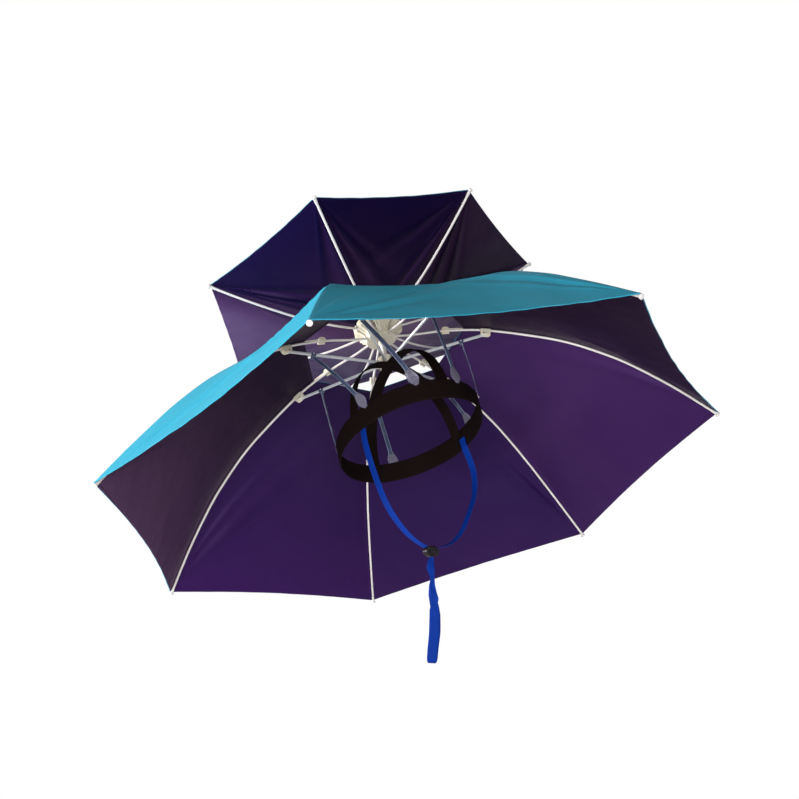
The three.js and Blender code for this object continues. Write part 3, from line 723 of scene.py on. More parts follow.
# Ribs: shares of reach and height, for a lower rib also how far a slack panel lets it down
ribs = {
    "lowerTip": 0.371,
    "lowerDrop": 0.210,
    "lowerRoot": 0.1587,
    "upperTip": 0.217,
    "upperRise": 0.053,
    "upperRoot": 0.1727,
    "lowerShape": [
        (0, 1, 0), (0.068, 0.981, 0), (0.159, 0.966, 0), (0.266, 0.931, 0), (0.329, 0.899, 0),
        (0.442, 0.821, 0.006), (0.592, 0.695, 0.026), (0.734, 0.518, 0.048), (0.802, 0.408, 0.052),
        (0.899, 0.224, 0.038), (1, 0, 0),
    ],
    "upperShape": [
        (0, 0), (0.069, 0.010), (0.230, 0.067), (0.439, 0.222), (0.693, 0.530), (0.900, 0.835), (1, 1),
    ],
    "slack": [1, 0, 1, 0.6, 0, 1, 1],
    "capShow": 0.0016,  # of a tip's rounded end beyond the cloth's corner
}


def ribLine(index):  # a lower rib's middle line, as (distance from the axis, 0, height)
    points = []
    for reach, height, ease in ribs["lowerShape"]:
        out = hat["ribRoot"] + reach * (ribs["lowerTip"] - hat["ribRoot"])
        down = (1 - height + ribs["slack"][index] * ease) * ribs["lowerDrop"]
        points.append((out, 0, ribs["lowerRoot"] - down))
    return smoothPath(points, 10)


def upperRibLine():
    points = []
    for reach, height in ribs["upperShape"]:
        out = hat["ribRoot"] + reach * (ribs["upperTip"] - hat["ribRoot"])
        points.append((out, 0, ribs["upperRoot"] + height * ribs["upperRise"]))
    return smoothPath(points, 10)


def seamLine(line, start):  # the cloth's middle line over a rib, from start out to the tip cap
    out = np.array([p.x for p in line])
    height = np.array([p.z for p in line])
    fine = np.linspace(out[0], out[-1], 400)
    rise = np.gradient(np.interp(fine, out, height), fine)
    rise = np.convolve(np.pad(rise, 6, mode="edge"), np.ones(13) / 13, mode="valid")
    length = np.hypot(1, rise)
    endSlope = rise[-1]
    corner = out[-1] - ribs["capShow"] / math.hypot(1, endSlope)
    s = np.linspace(0, 1, 200)
    at = start + s * (corner - start)
    slope = np.interp(at, fine, rise)
    scale = np.interp(at, fine, length)
    middle = np.interp(at, out, height)
    away = np.stack([-slope / scale, 1 / scale], -1)
    return s, np.stack([at, middle], -1) + away * hat["clothMiddle"], away


# Canopies. Each panel is a grid between two seams: u runs across it and s from the hole to the hem.
canopy = {
    "vent": 0.106,
    "half": 0.0003,  # half the cloth's thickness
    "hemHalf": 0.0005,
    "hemFold": 0.0030,
    "seamLap": 0.0042,
    "shadeReach": 0.035,
    "rippleSize": 0.085,
    "smallRippleSize": 0.05,
    "rippleFrom": 0.012,  # from a seam
    "puckerPitch": 0.013,
    "edgeReach": 0.006,  # of puckers from a seam and of the hem's wave
    "hemWave": 0.0005,
    "hemWavePitch": 0.031,
    "hemCalm": 0.008,
    "upperHole": 0.010,
    "upperFlat": 0.0332,
    "upperFlatHeight": 0.1806,
    "sagAlong": (0, 0.2, 0.4, 0.6, 0.8, 1),
    "sagDepth": (0, 0.42, 0.76, 0.97, 1, 0.85),
}


def shellMesh(name, points, normals, halves, inward, uvs, spans):
    # points[j][i]: j is the row from the hole to the hem, i the column round the canopy
    rows, columns = points.shape[:2]
    outer = points + normals * halves[..., None]
    inner = points - normals * (halves + inward)[..., None]
    offset = rows * columns
    faces = []
    satin = []
    owners = []  # the column that a face belongs to
    for j in range(rows - 1):
        for i in range(columns):
            k = (i + 1) % columns
            here, below = j * columns, (j + 1) * columns
            faces.append((here + i, below + i, below + k, here + k))
            faces.append((offset + here + i, offset + here + k, offset + below + k, offset + below + i))
            satin.extend((0, 1))
            owners.extend((i, i))
    last = (rows - 1) * columns
    for i in range(columns):
        k = (i + 1) % columns
        faces.append((last + i, offset + last + i, offset + last + k, last + k))
        faces.append((i, k, offset + k, offset + i))
        satin.extend((0, 0))
        owners.extend((i, i))
    obj = meshObject(name, np.concatenate([outer.reshape(-1, 3), inner.reshape(-1, 3)]), faces)
    mesh = obj.data
    mesh.polygons.foreach_set("material_index", satin)
    layer = mesh.uv_layers.new(name="weave")
    perPanel = columns // hat["ribCount"]
    coordinates = []
    for owner, face in zip(owners, faces):
        for vertex in face:
            row, column = divmod(vertex % offset, columns)
            local = owner % perPanel + (0 if column == owner else 1)
            coordinates.extend(uvs[row][local])
    layer.data.foreach_set("uv", coordinates)
    for label, values in spans.items():
        mesh.attributes.new(label, "FLOAT", "POINT").data.foreach_set("value", np.tile(values.reshape(-1), 2))
    activate(obj)
    bpy.ops.object.mode_set(mode="EDIT")
    bpy.ops.mesh.select_all(action="SELECT")
    bpy.ops.mesh.normals_make_consistent(inside=False)
    leaveEdit()
    bpy.ops.object.shade_smooth()
    return obj


def smoothNoise(seed, x, y, size):  # seeded, even noise between -1 and 1 on a plane
    random = np.random.RandomState(seed)
    total = np.zeros_like(x)
    for _ in range(9):
        turn, phase = random.uniform(0, 2 * math.pi, 2)
        pace = 2 * math.pi / size * random.uniform(0.6, 1.5)
        total += np.sin((x * math.cos(turn) + y * math.sin(turn)) * pace + phase)
    return total / 5


def cornerFolds(folds, along, across, other):
    # ridges that fan out from the two hem corners of a panel. along is the distance from the hem,
    # across and other are the distances from its two seams. Angles count from the seam.
    lift = np.zeros_like(along)
    for corner, angle, spread, height, reach in folds:
        span = across if corner == 0 else other
        distance = np.hypot(along, span)
        turn = np.degrees(np.arctan2(span, along + 1e-6))
        ridge = np.exp(-(((turn - angle) / spread) ** 2))
        fade = distance / reach
        lift += height * ridge * (fade * np.exp(1 - fade)) ** 1.4
    return lift


def panelColumns(width, columns):  # fine beside the seams and near the corners, wider in the middle
    even = np.linspace(0, 1, columns + 1)
    even = 0.45 * even + 0.55 * 0.5 * (1 - np.cos(math.pi * even))
    lap = canopy["seamLap"]
    marks = np.array([0, 0.45 * lap, lap, 1.15 * lap])
    u = np.tile(even, (len(width), 1))
    last = len(marks) - 1
    for n, mark in enumerate(marks):
        edge = np.minimum(mark / width, even[n] * 1.6)
        u[:, n] = edge
        u[:, columns - n] = 1 - edge
    middle = (even[last:columns - last + 1] - even[last]) / (even[columns - last] - even[last])
    low, high = u[:, last], u[:, columns - last]
    u[:, last:columns - last + 1] = low[:, None] + (high - low)[:, None] * middle
    return u


def panelRelief(settings, panel, fan, held, across, along, swell, loose):
    # sag, folds, ripples, puckers by the seams and waves of the hem. held is the distance from a seam,
    # swell rises to 1 in the panel's middle, and loose is 0 where the cloth lies flat.
    depth = np.interp(loose, canopy["sagAlong"], canopy["sagDepth"])
    seed = settings["seed"] + panel
    ripple = smoothNoise(seed, across, along, canopy["rippleSize"])
    ripple += 0.35 * smoothNoise(seed + 50, across * 2, along, canopy["smallRippleSize"])
    ripple *= settings["rough"] * (1 - np.exp(-((held / canopy["rippleFrom"]) ** 2))) * loose
    gathers = np.sin(along * 2 * math.pi / canopy["puckerPitch"] + panel)
    pucker = settings["pucker"] * np.exp(-held / canopy["edgeReach"]) * gathers
    pucker *= np.minimum(1, held / 0.002) * loose
    hemWave = np.sin(across * 2 * math.pi / canopy["hemWavePitch"] + 2 * panel) * swell
    hemWave *= canopy["hemWave"] * np.exp(-along / canopy["edgeReach"])
    calm = 1 - 0.6 * np.exp(-((along / canopy["hemCalm"]) ** 2))
    return -settings["sag"] * swell * depth + (fan * (loose > 0) + ripple) * calm + pucker + hemWave


def makeCanopy(name, node, settings, seams, free=0):  # free is the share that lies flat in the middle
    rows = canopyRows(settings)
    folds = canopyFolds(settings)
    columns = settings["columns"]
    allPoints, allNormals = [], []
    spans = {"seamSpan": [], "hemSpan": [], "shotAndSheenHue": [], "lit": []}
    for panel in range(hat["ribCount"]):
        sNear, placeNear, awayNear = seams[panel]
        _, placeFar, awayFar = seams[(panel + 1) % hat["ribCount"]]
        seamLength = np.hypot(*(placeNear[-1] - placeNear[0]))
        arc = np.concatenate([[0], np.cumsum(np.hypot(*np.diff(placeNear, axis=0).T))])
        width = 2 * np.interp(rows, sNear, placeNear[:, 0]) * math.sin(step / 2)
        u = panelColumns(width, columns)
        swell = 4 * u * (1 - u)
        drawn = rows[:, None] * (1 - swell * settings["bow"] / seamLength)
        turn = ribTurn(panel) + u * step
        ends = []
        for places, at in ((placeNear, ribTurn(panel)), (placeFar, ribTurn(panel + 1))):
            out, height = (np.interp(drawn, sNear, places[:, n]) for n in (0, 1))
            ends.append(np.stack([out * math.cos(at), out * math.sin(at), height], -1))
        point = ends[0] + (ends[1] - ends[0]) * u[..., None]
        away = [np.interp(drawn, sNear, awayNear[:, n]) * (1 - u) + np.interp(drawn, sNear, awayFar[:, n]) * u
                for n in (0, 1)]
        normal = np.stack([away[0] * np.cos(turn), away[0] * np.sin(turn), away[1]], -1)
        normal /= np.linalg.norm(normal, axis=-1, keepdims=True)
        loose = np.clip((rows - free) / (1 - free), 0, 1)[:, None]
        along = (1 - drawn) * arc[-1]
        across, other = u * width[:, None], (1 - u) * width[:, None]
        held = np.minimum(across, other)
        fan = cornerFolds(folds[panel], along, across, other) * np.minimum(1, held / 0.005)
        lift = panelRelief(settings, panel, fan, held, across, along, swell, loose)
        allPoints.append((point + normal * lift[..., None])[:, :-1])
        allNormals.append(normal[:, :-1])
        # Painted light on the satin: a hue and a light level per panel from hub to hem, painted highlights on
        # fold crests and painted shade beside a seam
        hueAndSheenHub, hueAndSheenHem, litHub, litHem = settings["looks"][panel]
        share = rows[:, None] ** 2 + 0 * u
        paintedFoldLight = np.clip(settings["crestShine"] * fan, -0.35, 0.75)
        paintedFoldLight -= settings["seamShade"].get(panel, 0) * np.exp(-((other / canopy["shadeReach"]) ** 2))
        measured = {
            "seamSpan": held,
            "hemSpan": np.minimum(along, drawn * arc[-1] + settings["hole"]),
            "shotAndSheenHue": hueAndSheenHub + (hueAndSheenHem - hueAndSheenHub) * share,
            "lit": litHub + (litHem - litHub) * share + paintedFoldLight,
        }
        for label, values in measured.items():
            spans[label].append(values[:, :-1])
        if panel == 0:
            uvs = np.stack([across, along], -1).tolist()
    points = np.concatenate(allPoints, axis=1)
    normals = np.concatenate(allNormals, axis=1)
    spans = {label: np.concatenate(values, axis=1) for label, values in spans.items()}
    around = np.roll(points, -1, axis=1) - np.roll(points, 1, axis=1)
    true = np.cross(around, np.gradient(points, axis=0))
    true /= np.linalg.norm(true, axis=-1, keepdims=True) + 1e-12
    true *= np.sign(np.sum(true * normals, axis=-1, keepdims=True))
    hemThick = np.where(spans["hemSpan"] < canopy["hemFold"] + 0.0001, canopy["hemHalf"] - canopy["half"], 0)
    inward = np.where(spans["seamSpan"] < canopy["seamLap"] + 0.0001, 0.0004, 0)
    obj = shellMesh(name, points, true, canopy["half"] + hemThick, inward, uvs, spans)
    setMaterials(obj, tealCloth, purpleSatin)
    finishPiece(obj, name, "canopy_cloth", node)
    return obj


def randomFolds(seed, count, height, reach):
    random = np.random.RandomState(seed)
    rows = []
    for corner in (0, 1):
        for n in range(count):
            angle = (n + random.uniform(0.2, 0.8)) * 58 / count + 3
            lift = height * random.uniform(0.3, 1) * random.choice([-1, 1])
            rows.append((corner, angle, random.uniform(2.2, 4.5), lift, reach * random.uniform(0.5, 1.3)))
    return rows


def canopyRows(settings):  # closer towards the hem, with the hem's fold and the hole's edge marked
    fold = canopy["hemFold"] / settings["length"]
    v = np.linspace(0, 1, settings["rows"])
    s = 1 - (1 - v) ** 1.2
    s = 1.1 * fold + s * (1 - 3.3 * fold)
    return np.concatenate([[0, 0.5 * fold, fold], s, [1 - 1.1 * fold, 1 - fold, 1 - 0.5 * fold, 1]])


# Folds: corner (0 at a panel's first rib, 1 at its second), angle and spread in degrees, height, reach.
# Looks of the satin: hue (0 violet, 1 plum), partly its two-colour weave and partly painted sheen, at the hub
# and at the hem, then the painted light level at the hub and at the hem.
lowerCloth = {
    "columns": 84,
    "rows": 58,
    "bow": 0.005,
    "sag": 0.010,
    "rough": 0.0008,
    "pucker": 0.00022,
    "hole": 0,
    "seed": 7,
    "crestShine": 38,  # painted highlight of the satin on a fold's crest
    "seamShade": {},
    "length": 0.33,
    "otherFolds": (0.0018, 0.05),  # height and reach where no folds are listed
    "folds": {
        0: [(1, 10, 3.5, 0.0012, 0.06), (1, 19, 3, -0.0008, 0.06), (0, 14, 4, 0.0010, 0.06)],
        1: [(0, 5, 2.4, 0.0022, 0.09), (0, 12, 3, -0.0012, 0.08), (1, 6, 2.4, 0.0012, 0.05)],
        2: [(0, 4, 1.6, 0.0022, 0.045), (0, 9, 1.9, 0.0028, 0.055), (0, 15, 2.2, -0.0018, 0.05),
            (0, 24, 3, 0.0008, 0.04)],
        3: [(1, 12, 3, 0.0026, 0.085), (1, 22, 3, 0.0020, 0.08), (1, 33, 4, -0.0014, 0.08)],
        4: [(1, 6, 2.2, 0.0036, 0.055), (1, 13, 2.6, -0.0030, 0.055), (1, 21, 3, 0.0020, 0.05),
            (0, 5, 3, 0.0012, 0.06)],
        5: [(0, 57, 2, 0.0028, 0.14), (0, 49, 3, -0.0024, 0.12), (0, 40, 4, 0.0016, 0.10),
            (1, 50, 3, 0.0014, 0.08)],
        6: [(0, 20, 4, 0.0022, 0.06), (0, 36, 3.5, -0.0026, 0.08), (0, 47, 3, 0.0024, 0.08),
            (0, 56, 2.2, -0.0016, 0.06), (1, 8, 2.4, 0.0014, 0.11), (1, 16, 3, -0.0012, 0.11),
            (1, 27, 3.4, 0.0010, 0.09)],
    },
    "looks": [
        (1.0, 1.0, 0.08, 0.12), (0.22, 0.20, 0.50, 0.64), (0.10, 0.10, 0.20, 0.36), (0.15, 0.05, 0.20, 0.58),
        (1.0, 1.0, 0.08, 0.78), (1.0, 1.0, 0.12, 0.3), (1.0, 1.0, 0.12, 0.3),
    ],
}
upperCloth = {
    "columns": 56,
    "rows": 44,
    "bow": 0.003,
    "sag": 0.0035,
    "rough": 0.0008,
    "pucker": 0.0002,
    "hole": 0.02,
    "seed": 21,
    "crestShine": 85,
    "seamShade": {4: 0.8},  # painted shade, darker beside a panel's second rib
    "length": 0.2,
    "otherFolds": (0.0022, 0.04),
    "folds": {
        0: [(0, 8, 2.2, 0.0024, 0.07), (0, 15, 2.2, -0.0020, 0.08), (0, 22, 2.2, 0.0022, 0.08),
            (0, 30, 2.4, -0.0016, 0.08), (0, 38, 2.4, 0.0014, 0.07), (1, 9, 3, 0.0030, 0.055),
            (1, 17, 3, -0.0024, 0.055)],
        4: [(1, 7, 3, 0.0026, 0.05), (1, 16, 4, -0.0018, 0.05), (0, 12, 4, 0.0014, 0.04)],
        5: [(0, 4, 1.8, 0.0036, 0.065), (0, 9, 2, -0.0030, 0.07), (0, 15, 2.4, 0.0030, 0.065),
            (0, 24, 3, -0.0014, 0.05), (1, 10, 3.4, 0.0026, 0.05), (1, 20, 3.4, -0.0018, 0.05)],
        6: [(0, 9, 2.8, 0.0030, 0.055), (0, 16, 2.8, -0.0022, 0.055), (0, 26, 3.4, 0.0010, 0.05),
            (1, 4, 1.7, 0.0036, 0.085), (1, 9, 1.9, -0.0028, 0.08), (1, 30, 4, 0.0013, 0.05),
            (1, 42, 4, -0.0008, 0.04)],
    },
    "looks": [
        (0.95, 0.85, 0.10, 0.12), (0.8, 0.7, 1.5, 1.0), (0.8, 0.6, 1.5, 1.0), (0.8, 0.6, 1.4, 1.0),
        (0.75, 0.6, 1.1, 1.3), (0.45, 0.0, 0.12, 0.12), (0.75, 0.35, 0.06, 0.02),
    ],
}


def canopyFolds(settings):
    listed, seed = settings["folds"], settings["seed"] + 30
    others = settings["otherFolds"]
    return [listed.get(k) or randomFolds(seed + k, 4, *others) for k in range(hat["ribCount"])]


def makeMainCanopy():
    seams = [seamLine(ribLine(k), canopy["vent"]) for k in range(hat["ribCount"])]
    return makeCanopy("mainCanopy", "main_canopy", lowerCloth, seams)


def makeTopCanopy():
    corner = seamLine(upperRibLine(), 0.2)[1][-1]
    s = np.linspace(0, 1, 200)
    flat = canopy["upperFlat"] - canopy["upperHole"]
    run = corner - np.array([canopy["upperFlat"], canopy["upperFlatHeight"]])
    total = flat + np.hypot(*run)
    gone = s * total
    out = canopy["upperHole"] + np.minimum(gone, flat)
    level = np.stack([out, np.full_like(gone, canopy["upperFlatHeight"])], -1)
    line = level + np.clip((gone - flat) / (total - flat), 0, 1)[:, None] * run
    steep = np.array([-run[1], run[0]]) / np.hypot(*run)
    blend = np.clip((gone - 0.7 * flat) / (0.6 * flat), 0, 1)[:, None]
    away = (1 - blend) * np.array([0, 1.0]) + blend * steep
    away /= np.linalg.norm(away, axis=1, keepdims=True)
    seams = [(s, line, away)] * hat["ribCount"]
    return makeCanopy("topCanopy", "top_canopy", upperCloth, seams, 1.5 * flat / total)


mainCanopy = makeMainCanopy()
topCanopy = makeTopCanopy()
print("canopies made", len(mainCanopy.data.polygons), len(topCanopy.data.polygons))


# Rods and their tip caps
rod = {
    "sides": 4,
    "lowerHead": (0.0031, 0.0022),  # radius and thickness
    "upperHead": (0.0028, 0.0036),
    "headAhead": 0.001,
    "neckRadius": 0.0021,
    "neckLength": 0.0065,
}


def rodAlong(name, path, radius):
    data = bpy.data.curves.new(name, "CURVE")
    data.dimensions = "3D"
    spline = data.splines.new("POLY")
    spline.points.add(len(path) - 1)
    for point, spot in zip(spline.points, path):
        point.co = (*spot, 1)
    data.bevel_depth = radius
    data.bevel_resolution = rod["sides"]
    data.use_fill_caps = True
    activate(newObject(name, data))
    bpy.ops.object.convert(target="MESH")
    return bpy.context.active_object


def tipCap(line, headRadius, headThick):  # a moulded end with a rounded head
    tangent = (line[-1] - line[-2]).normalized()
    back = line[-1] + tangent * (rod["headAhead"] - headThick)
    head = makeCylinder(headRadius, headThick, back + tangent * headThick / 2, tangent, 28)
    roundEdges(head, 0.45 * headThick, 4, 30)
    neck = makeCone(0.8 * rod["neckRadius"], rod["neckRadius"], back - tangent * rod["neckLength"], back, 24)
    return joinAll(head, neck)


def makeRib(name, node, line, index, head):
    rib = joinAll(rodAlong(name, line, hat["ribRadius"]), tipCap(line, *head))
    turnToRib(rib, index)
    setMaterials(rib, whiteRod)
    shadeSmooth(rib, 45)
    finishPiece(rib, name, "rib_rods", node)


def makeRibs():
    upper = upperRibLine()
    for k in range(hat["ribCount"]):
        makeRib(f"lowerRib{k + 1}", f"rib_{k + 1}", ribLine(k), k, rod["lowerHead"])
        makeRib(f"upperRib{k + 1}", f"upper_rib_{k + 1}", upper, k, rod["upperHead"])


makeRibs()
print("ribs made")


# Crown notch: a lobed disc over a fluted neck, slotted for the ribs
crown = {
    "perRib": 16,  # faces round the notch for each rib
    "disc": 0.0296,
    "discBottom": 0.1716,
    "lobe": 0.0020,  # each lobe swells past the disc
    "rings": [(0.0280, 0.1702), (0.0232, 0.1670), (0.0204, 0.1640), (0.0194, 0.1600), (0.0186, 0.1557)],
    "fluteWidth": 0.00035,
    "fluteHeight": 0.0009,
    "slotWidth": 0.0038,
    "slotFloor": 0.0161,
    "bore": 0.0052,
}


def makeCrown():
    height = hat["hubTop"] - crown["discBottom"]
    middle = (0, 0, crown["discBottom"] + height / 2)
    piece = makeCylinder(crown["disc"], height, middle, vertices=crown["perRib"] * hat["ribCount"])
    radius, level = crown["disc"], crown["discBottom"]
    for nextRadius, nextLevel in crown["rings"]:
        pick(piece, "FACE", lambda face: face.normal.z < -0.98)
        bpy.ops.mesh.extrude_region_move(TRANSFORM_OT_translate={"value": (0, 0, nextLevel - level)})
        taper = nextRadius / radius
        bpy.ops.transform.resize(value=(taper, taper, 1), center_override=(0, 0, nextLevel))
        leaveEdit()
        radius, level = nextRadius, nextLevel

    def isFlute(face):  # every other pair of faces round the neck
        at = face.center
        turn = (math.atan2(at.y, at.x) - ribTurn(0)) % step / step * crown["perRib"]
        isNeck = abs(face.normal.z) < 0.98 and at.z < crown["discBottom"] - 0.0006
        return isNeck and int((turn + 1) // 2) % 2 == 1

    insetFaces(piece, isFlute, crown["fluteWidth"], crown["fluteHeight"])
    for vertex in piece.data.vertices:  # lobes between the ribs
        x, y, z = vertex.co
        out = math.hypot(x, y)
        share = max(0, (out - crown["slotFloor"]) / (crown["disc"] - crown["slotFloor"]))
        inStep = (math.atan2(y, x) - ribTurn(0)) % step / step
        swell = 1 + crown["lobe"] / crown["disc"] * share * math.sin(math.pi * inStep) ** 0.8
        vertex.co = (x * swell, y * swell, z)
    slots = []
    deep, tall, through = 0.020, 0.04, 0.168
    for k in range(hat["ribCount"]):
        slot = makeBox((deep, crown["slotWidth"], tall), (crown["slotFloor"] + deep / 2, 0, through))
        turnToRib(slot, k)
        slots.append(slot)
    bore = makeCylinder(crown["bore"], 1.5 * tall, (0, 0, through), vertices=40)
    cutAway(piece, *slots, bore)
    roundEdges(piece, 0.00028, 2, 40)
    setMaterials(piece, creamPlastic)
    shadeSmooth(piece, 38)
    finishPiece(piece, "crownHub", "plastic", "hub")


makeCrown()


# Runner, top cap and shaft
tube = {"radius": 0.0033, "bottom": 0.1169, "top": 0.1795, "shoulder": 0.0046, "shoulderHeight": 0.006}


def makeRunner():
    piece = cadCopy("runner", 0.0005, 3)
    setMaterials(piece, creamPlastic)
    shadeSmooth(piece)
    finishPiece(piece, "runnerRing", "plastic", "runner")


def makeTopCap():
    piece = cadCopy("top_cap")
    smooth = piece.modifiers.new("smooth", "SUBSURF")
    smooth.levels = 2
    smooth.render_levels = 2
    applyModifiers(piece)
    setMaterials(piece, creamPlastic)
    shadeSmooth(piece, 50)
    finishPiece(piece, "topCap", "plastic", "top_cap")


def makeShaft():
    height = tube["top"] - tube["bottom"]
    piece = makeCylinder(tube["radius"], height, (0, 0, tube["bottom"] + height / 2), vertices=40)
    insetFaces(piece, lambda face: abs(face.normal.z) > 0.9, 0.0006)
    roundEdges(piece, 0.0003)
    shoulderAt = hat["hubBottom"] - tube["shoulderHeight"] / 2 - hat["gap"]
    shoulder = makeCylinder(tube["shoulder"], tube["shoulderHeight"], (0, 0, shoulderAt), vertices=40)
    roundEdges(shoulder, 0.0008, 3)
    setMaterials(piece, whiteRod)
    setMaterials(shoulder, creamPlastic)
    piece = joinAll(piece, shoulder)
    shadeSmooth(piece)
    finishPiece(piece, "shaftTube", "steel", "shaft")


makeRunner()
makeTopCap()
makeShaft()


# What sits on each rib, modelled in the plane of one rib and copied round the axis
knuckle = {
    "radius": 0.133,  # from the axis, as for the clip and the pivot
    "length": 0.013,
    "width": 0.0068,
    "top": 0.0006,
    "bottom": -0.0080,
    "webTop": -0.0018,
    "webBottom": -0.0030,
    "strutSlot": 0.0032,
    "ribSlot": 0.0036,
    "nose": 0.0038,  # rounding of the lower corners
    "topRound": 0.0009,
    "dimple": 0.0016,
    "dimpleAt": (0.0022, -0.0041),
    "pinRadius": 0.0011,
    "pinBack": -0.0020,
    "pinDown": -0.0063,
    "pinShow": 0.0008,
}
clip = {
    "radius": 0.083,
    "length": 0.0096,
    "width": 0.0074,
    "top": 0.0040,
    "bottom": -0.0026,
    "dome": 0.0036,
    "slot": 0.0036,
    "slotTop": 0.0018,
    "spikeRoot": 0.0011,
    "spikePoint": 0.0006,
    "rootAhead": 0.0025,
    "rootAbove": 0.0024,
    "pointBelow": 0.0004,  # of the cloth's corner
    "pointShort": 0.0009,
}
strut = {"root": (0.008, 0, 0.1212), "pivot": 0.098, "width": 0.0027, "wall": 0.0005, "endRound": 0.0012}


def onRib(radius):  # a place on a rib, the way along it and the way out of the hat
    line = ribLine(1)
    after = next(n for n, point in enumerate(line) if point.x > radius)
    low, high = line[after - 1], line[after]
    along = (high - low).normalized()
    return low.lerp(high, (radius - low.x) / (high.x - low.x)), along, Vector((-along.z, 0, along.x))


knuckleSeat = onRib(knuckle["radius"])
clipSeat = onRib(clip["radius"])
strutStart = Vector(strut["root"])
strutEnd = knuckleSeat[0] + knuckleSeat[2] * knuckle["pinDown"]
strutRun = (strutEnd - strutStart).normalized()
strutOut = strutRun.cross(Vector((0, 1, 0)))
pivot = strutStart + (strutEnd - strutStart) * (strut["pivot"] - strutStart.x) / (strutEnd.x - strutStart.x)
ventCorner = seamLine(ribLine(1), canopy["vent"])[1][0]


def makeKnuckle():
    height = knuckle["top"] - knuckle["bottom"]
    body = makeBox((knuckle["length"], knuckle["width"], height), (0, 0, knuckle["top"] - height / 2))
    roundCorners(body, knuckle["nose"], 7, -1)
    roundCorners(body, knuckle["topRound"], 4, 1)
    lower = slotBox(knuckle["strutSlot"], knuckle["webBottom"], -1)
    upper = slotBox(knuckle["ribSlot"], knuckle["webTop"], 1)
    ahead, above = knuckle["dimpleAt"]
    dimples = [
        makeCylinder(knuckle["dimple"], 0.0006, (ahead, side * knuckle["width"] / 2, above), (0, 1, 0), 24)
        for side in (1, -1)
    ]
    cutAway(body, lower, upper, *dimples)
    roundEdges(body, 0.0003)
    setMaterials(body, creamPlastic)
    pin = makePin(knuckle["pinRadius"], knuckle["width"] + knuckle["pinShow"],
                  (knuckle["pinBack"], 0, knuckle["pinDown"]), 24, 0.0003, darkSteel)
    piece = joinAll(body, pin)
    shadeSmooth(piece)
    stand(piece, *knuckleSeat)
    return piece


def makeClip():
    height = clip["top"] - clip["bottom"]
    body = makeBox((clip["length"], clip["width"], height), (0, 0, clip["top"] - height / 2))
    roundCorners(body, clip["dome"], 8, 1)
    cutAway(body, slotBox(clip["slot"], clip["slotTop"], -1))
    roundEdges(body, 0.0005, 3)
    stand(body, *clipSeat)
    spot, along, away = clipSeat
    root = spot + along * clip["rootAhead"] + away * clip["rootAbove"]
    point = Vector((ventCorner[0], 0, ventCorner[1])) - away * clip["pointBelow"]
    point -= (point - root).normalized() * clip["pointShort"]
    spike = makeCone(clip["spikeRoot"], clip["spikePoint"], root, point, 20)
    roundEdges(spike, 0.0003)
    piece = joinAll(body, spike)
    setMaterials(piece, creamPlastic)
    shadeSmooth(piece)
    return piece


def makeStrut():  # a folded channel, open downwards
    length = (strutEnd - strutStart).length
    body = makeBox((length, strut["width"], strut["width"]))
    roundCorners(body, strut["endRound"], 4)
    inside = strut["width"] - 2 * strut["wall"]
    hollow = makeBox((length + 0.01, inside, strut["width"]), (0, 0, -strut["wall"]))
    cutAway(body, hollow)
    roundEdges(body, 0.0002)
    setMaterials(body, zincSteel)
    shadeSmooth(body)
    stand(body, (strutStart + strutEnd) / 2, strutRun, strutOut)
    return body


def makeRibPieces():
    patterns = (
        (makeKnuckle(), "knuckle", "plastic", "knuckle"),
        (makeClip(), "ribClip", "plastic", "rib_clip"),
        (makeStrut(), "stretcher", "steel", "stretcher"),
    )
    for pattern, name, slotName, node in patterns:
        for k in range(hat["ribCount"]):
            finishPiece(copyToRib(pattern, k), f"{name}{k + 1}", slotName, f"{node}_{k + 1}")
        bpy.data.objects.remove(pattern, do_unlink=True)


makeRibPieces()
print("hub and rib pieces made")


# Headband and crown straps
band = {
    "insideX": 0.079,
    "insideY": 0.0985,
    "forward": 0.006,
    "height": 0.026,
    "wall": 0.0019,
    "wave": 0.00022,
    "curl": 0.00018,
    "steps": 220,
    "lap": 0.011,  # of the crown straps behind the band
    "crown": 0.112,
    "strapWidth": 0.016,
    "strapThickness": 0.0013,
    "strapSteps": 12,
    "strapCurl": 0.00012,
    "fullness": 0.9,
    "crossLift": 0.00065,
    "longLift": 0.00255,
    "longTurn": 81,
}


def makeHeadband():
    halfX, halfY = band["insideX"] + band["wall"] / 2, band["insideY"] + band["wall"] / 2
    path = []
    for n in range(band["steps"]):
        a = 2 * math.pi * n / band["steps"]
        wave = band["wave"] * (math.sin(5 * a + 1) + 0.6 * math.sin(11 * a))
        y = (halfY + wave) * math.sin(a) - band["forward"]
        path.append(Vector(((halfX + wave) * math.cos(a), y, band["height"] / 2)))

    def curl(x, t):  # the woven edges curl a little
        return band["curl"] * math.cos(2 * math.pi * 34 * t) * x * x

    loop = wovenStrip("headband", path, band["height"] - 0.0004, band["wall"] - 0.0001,
                      lambda t: Vector((0, 0, 1)), lift=curl, columns=16, closed=True)
    setMaterials(loop, blackElastic)
    finishPiece(loop, "headbandLoop", "elastic", "headband")


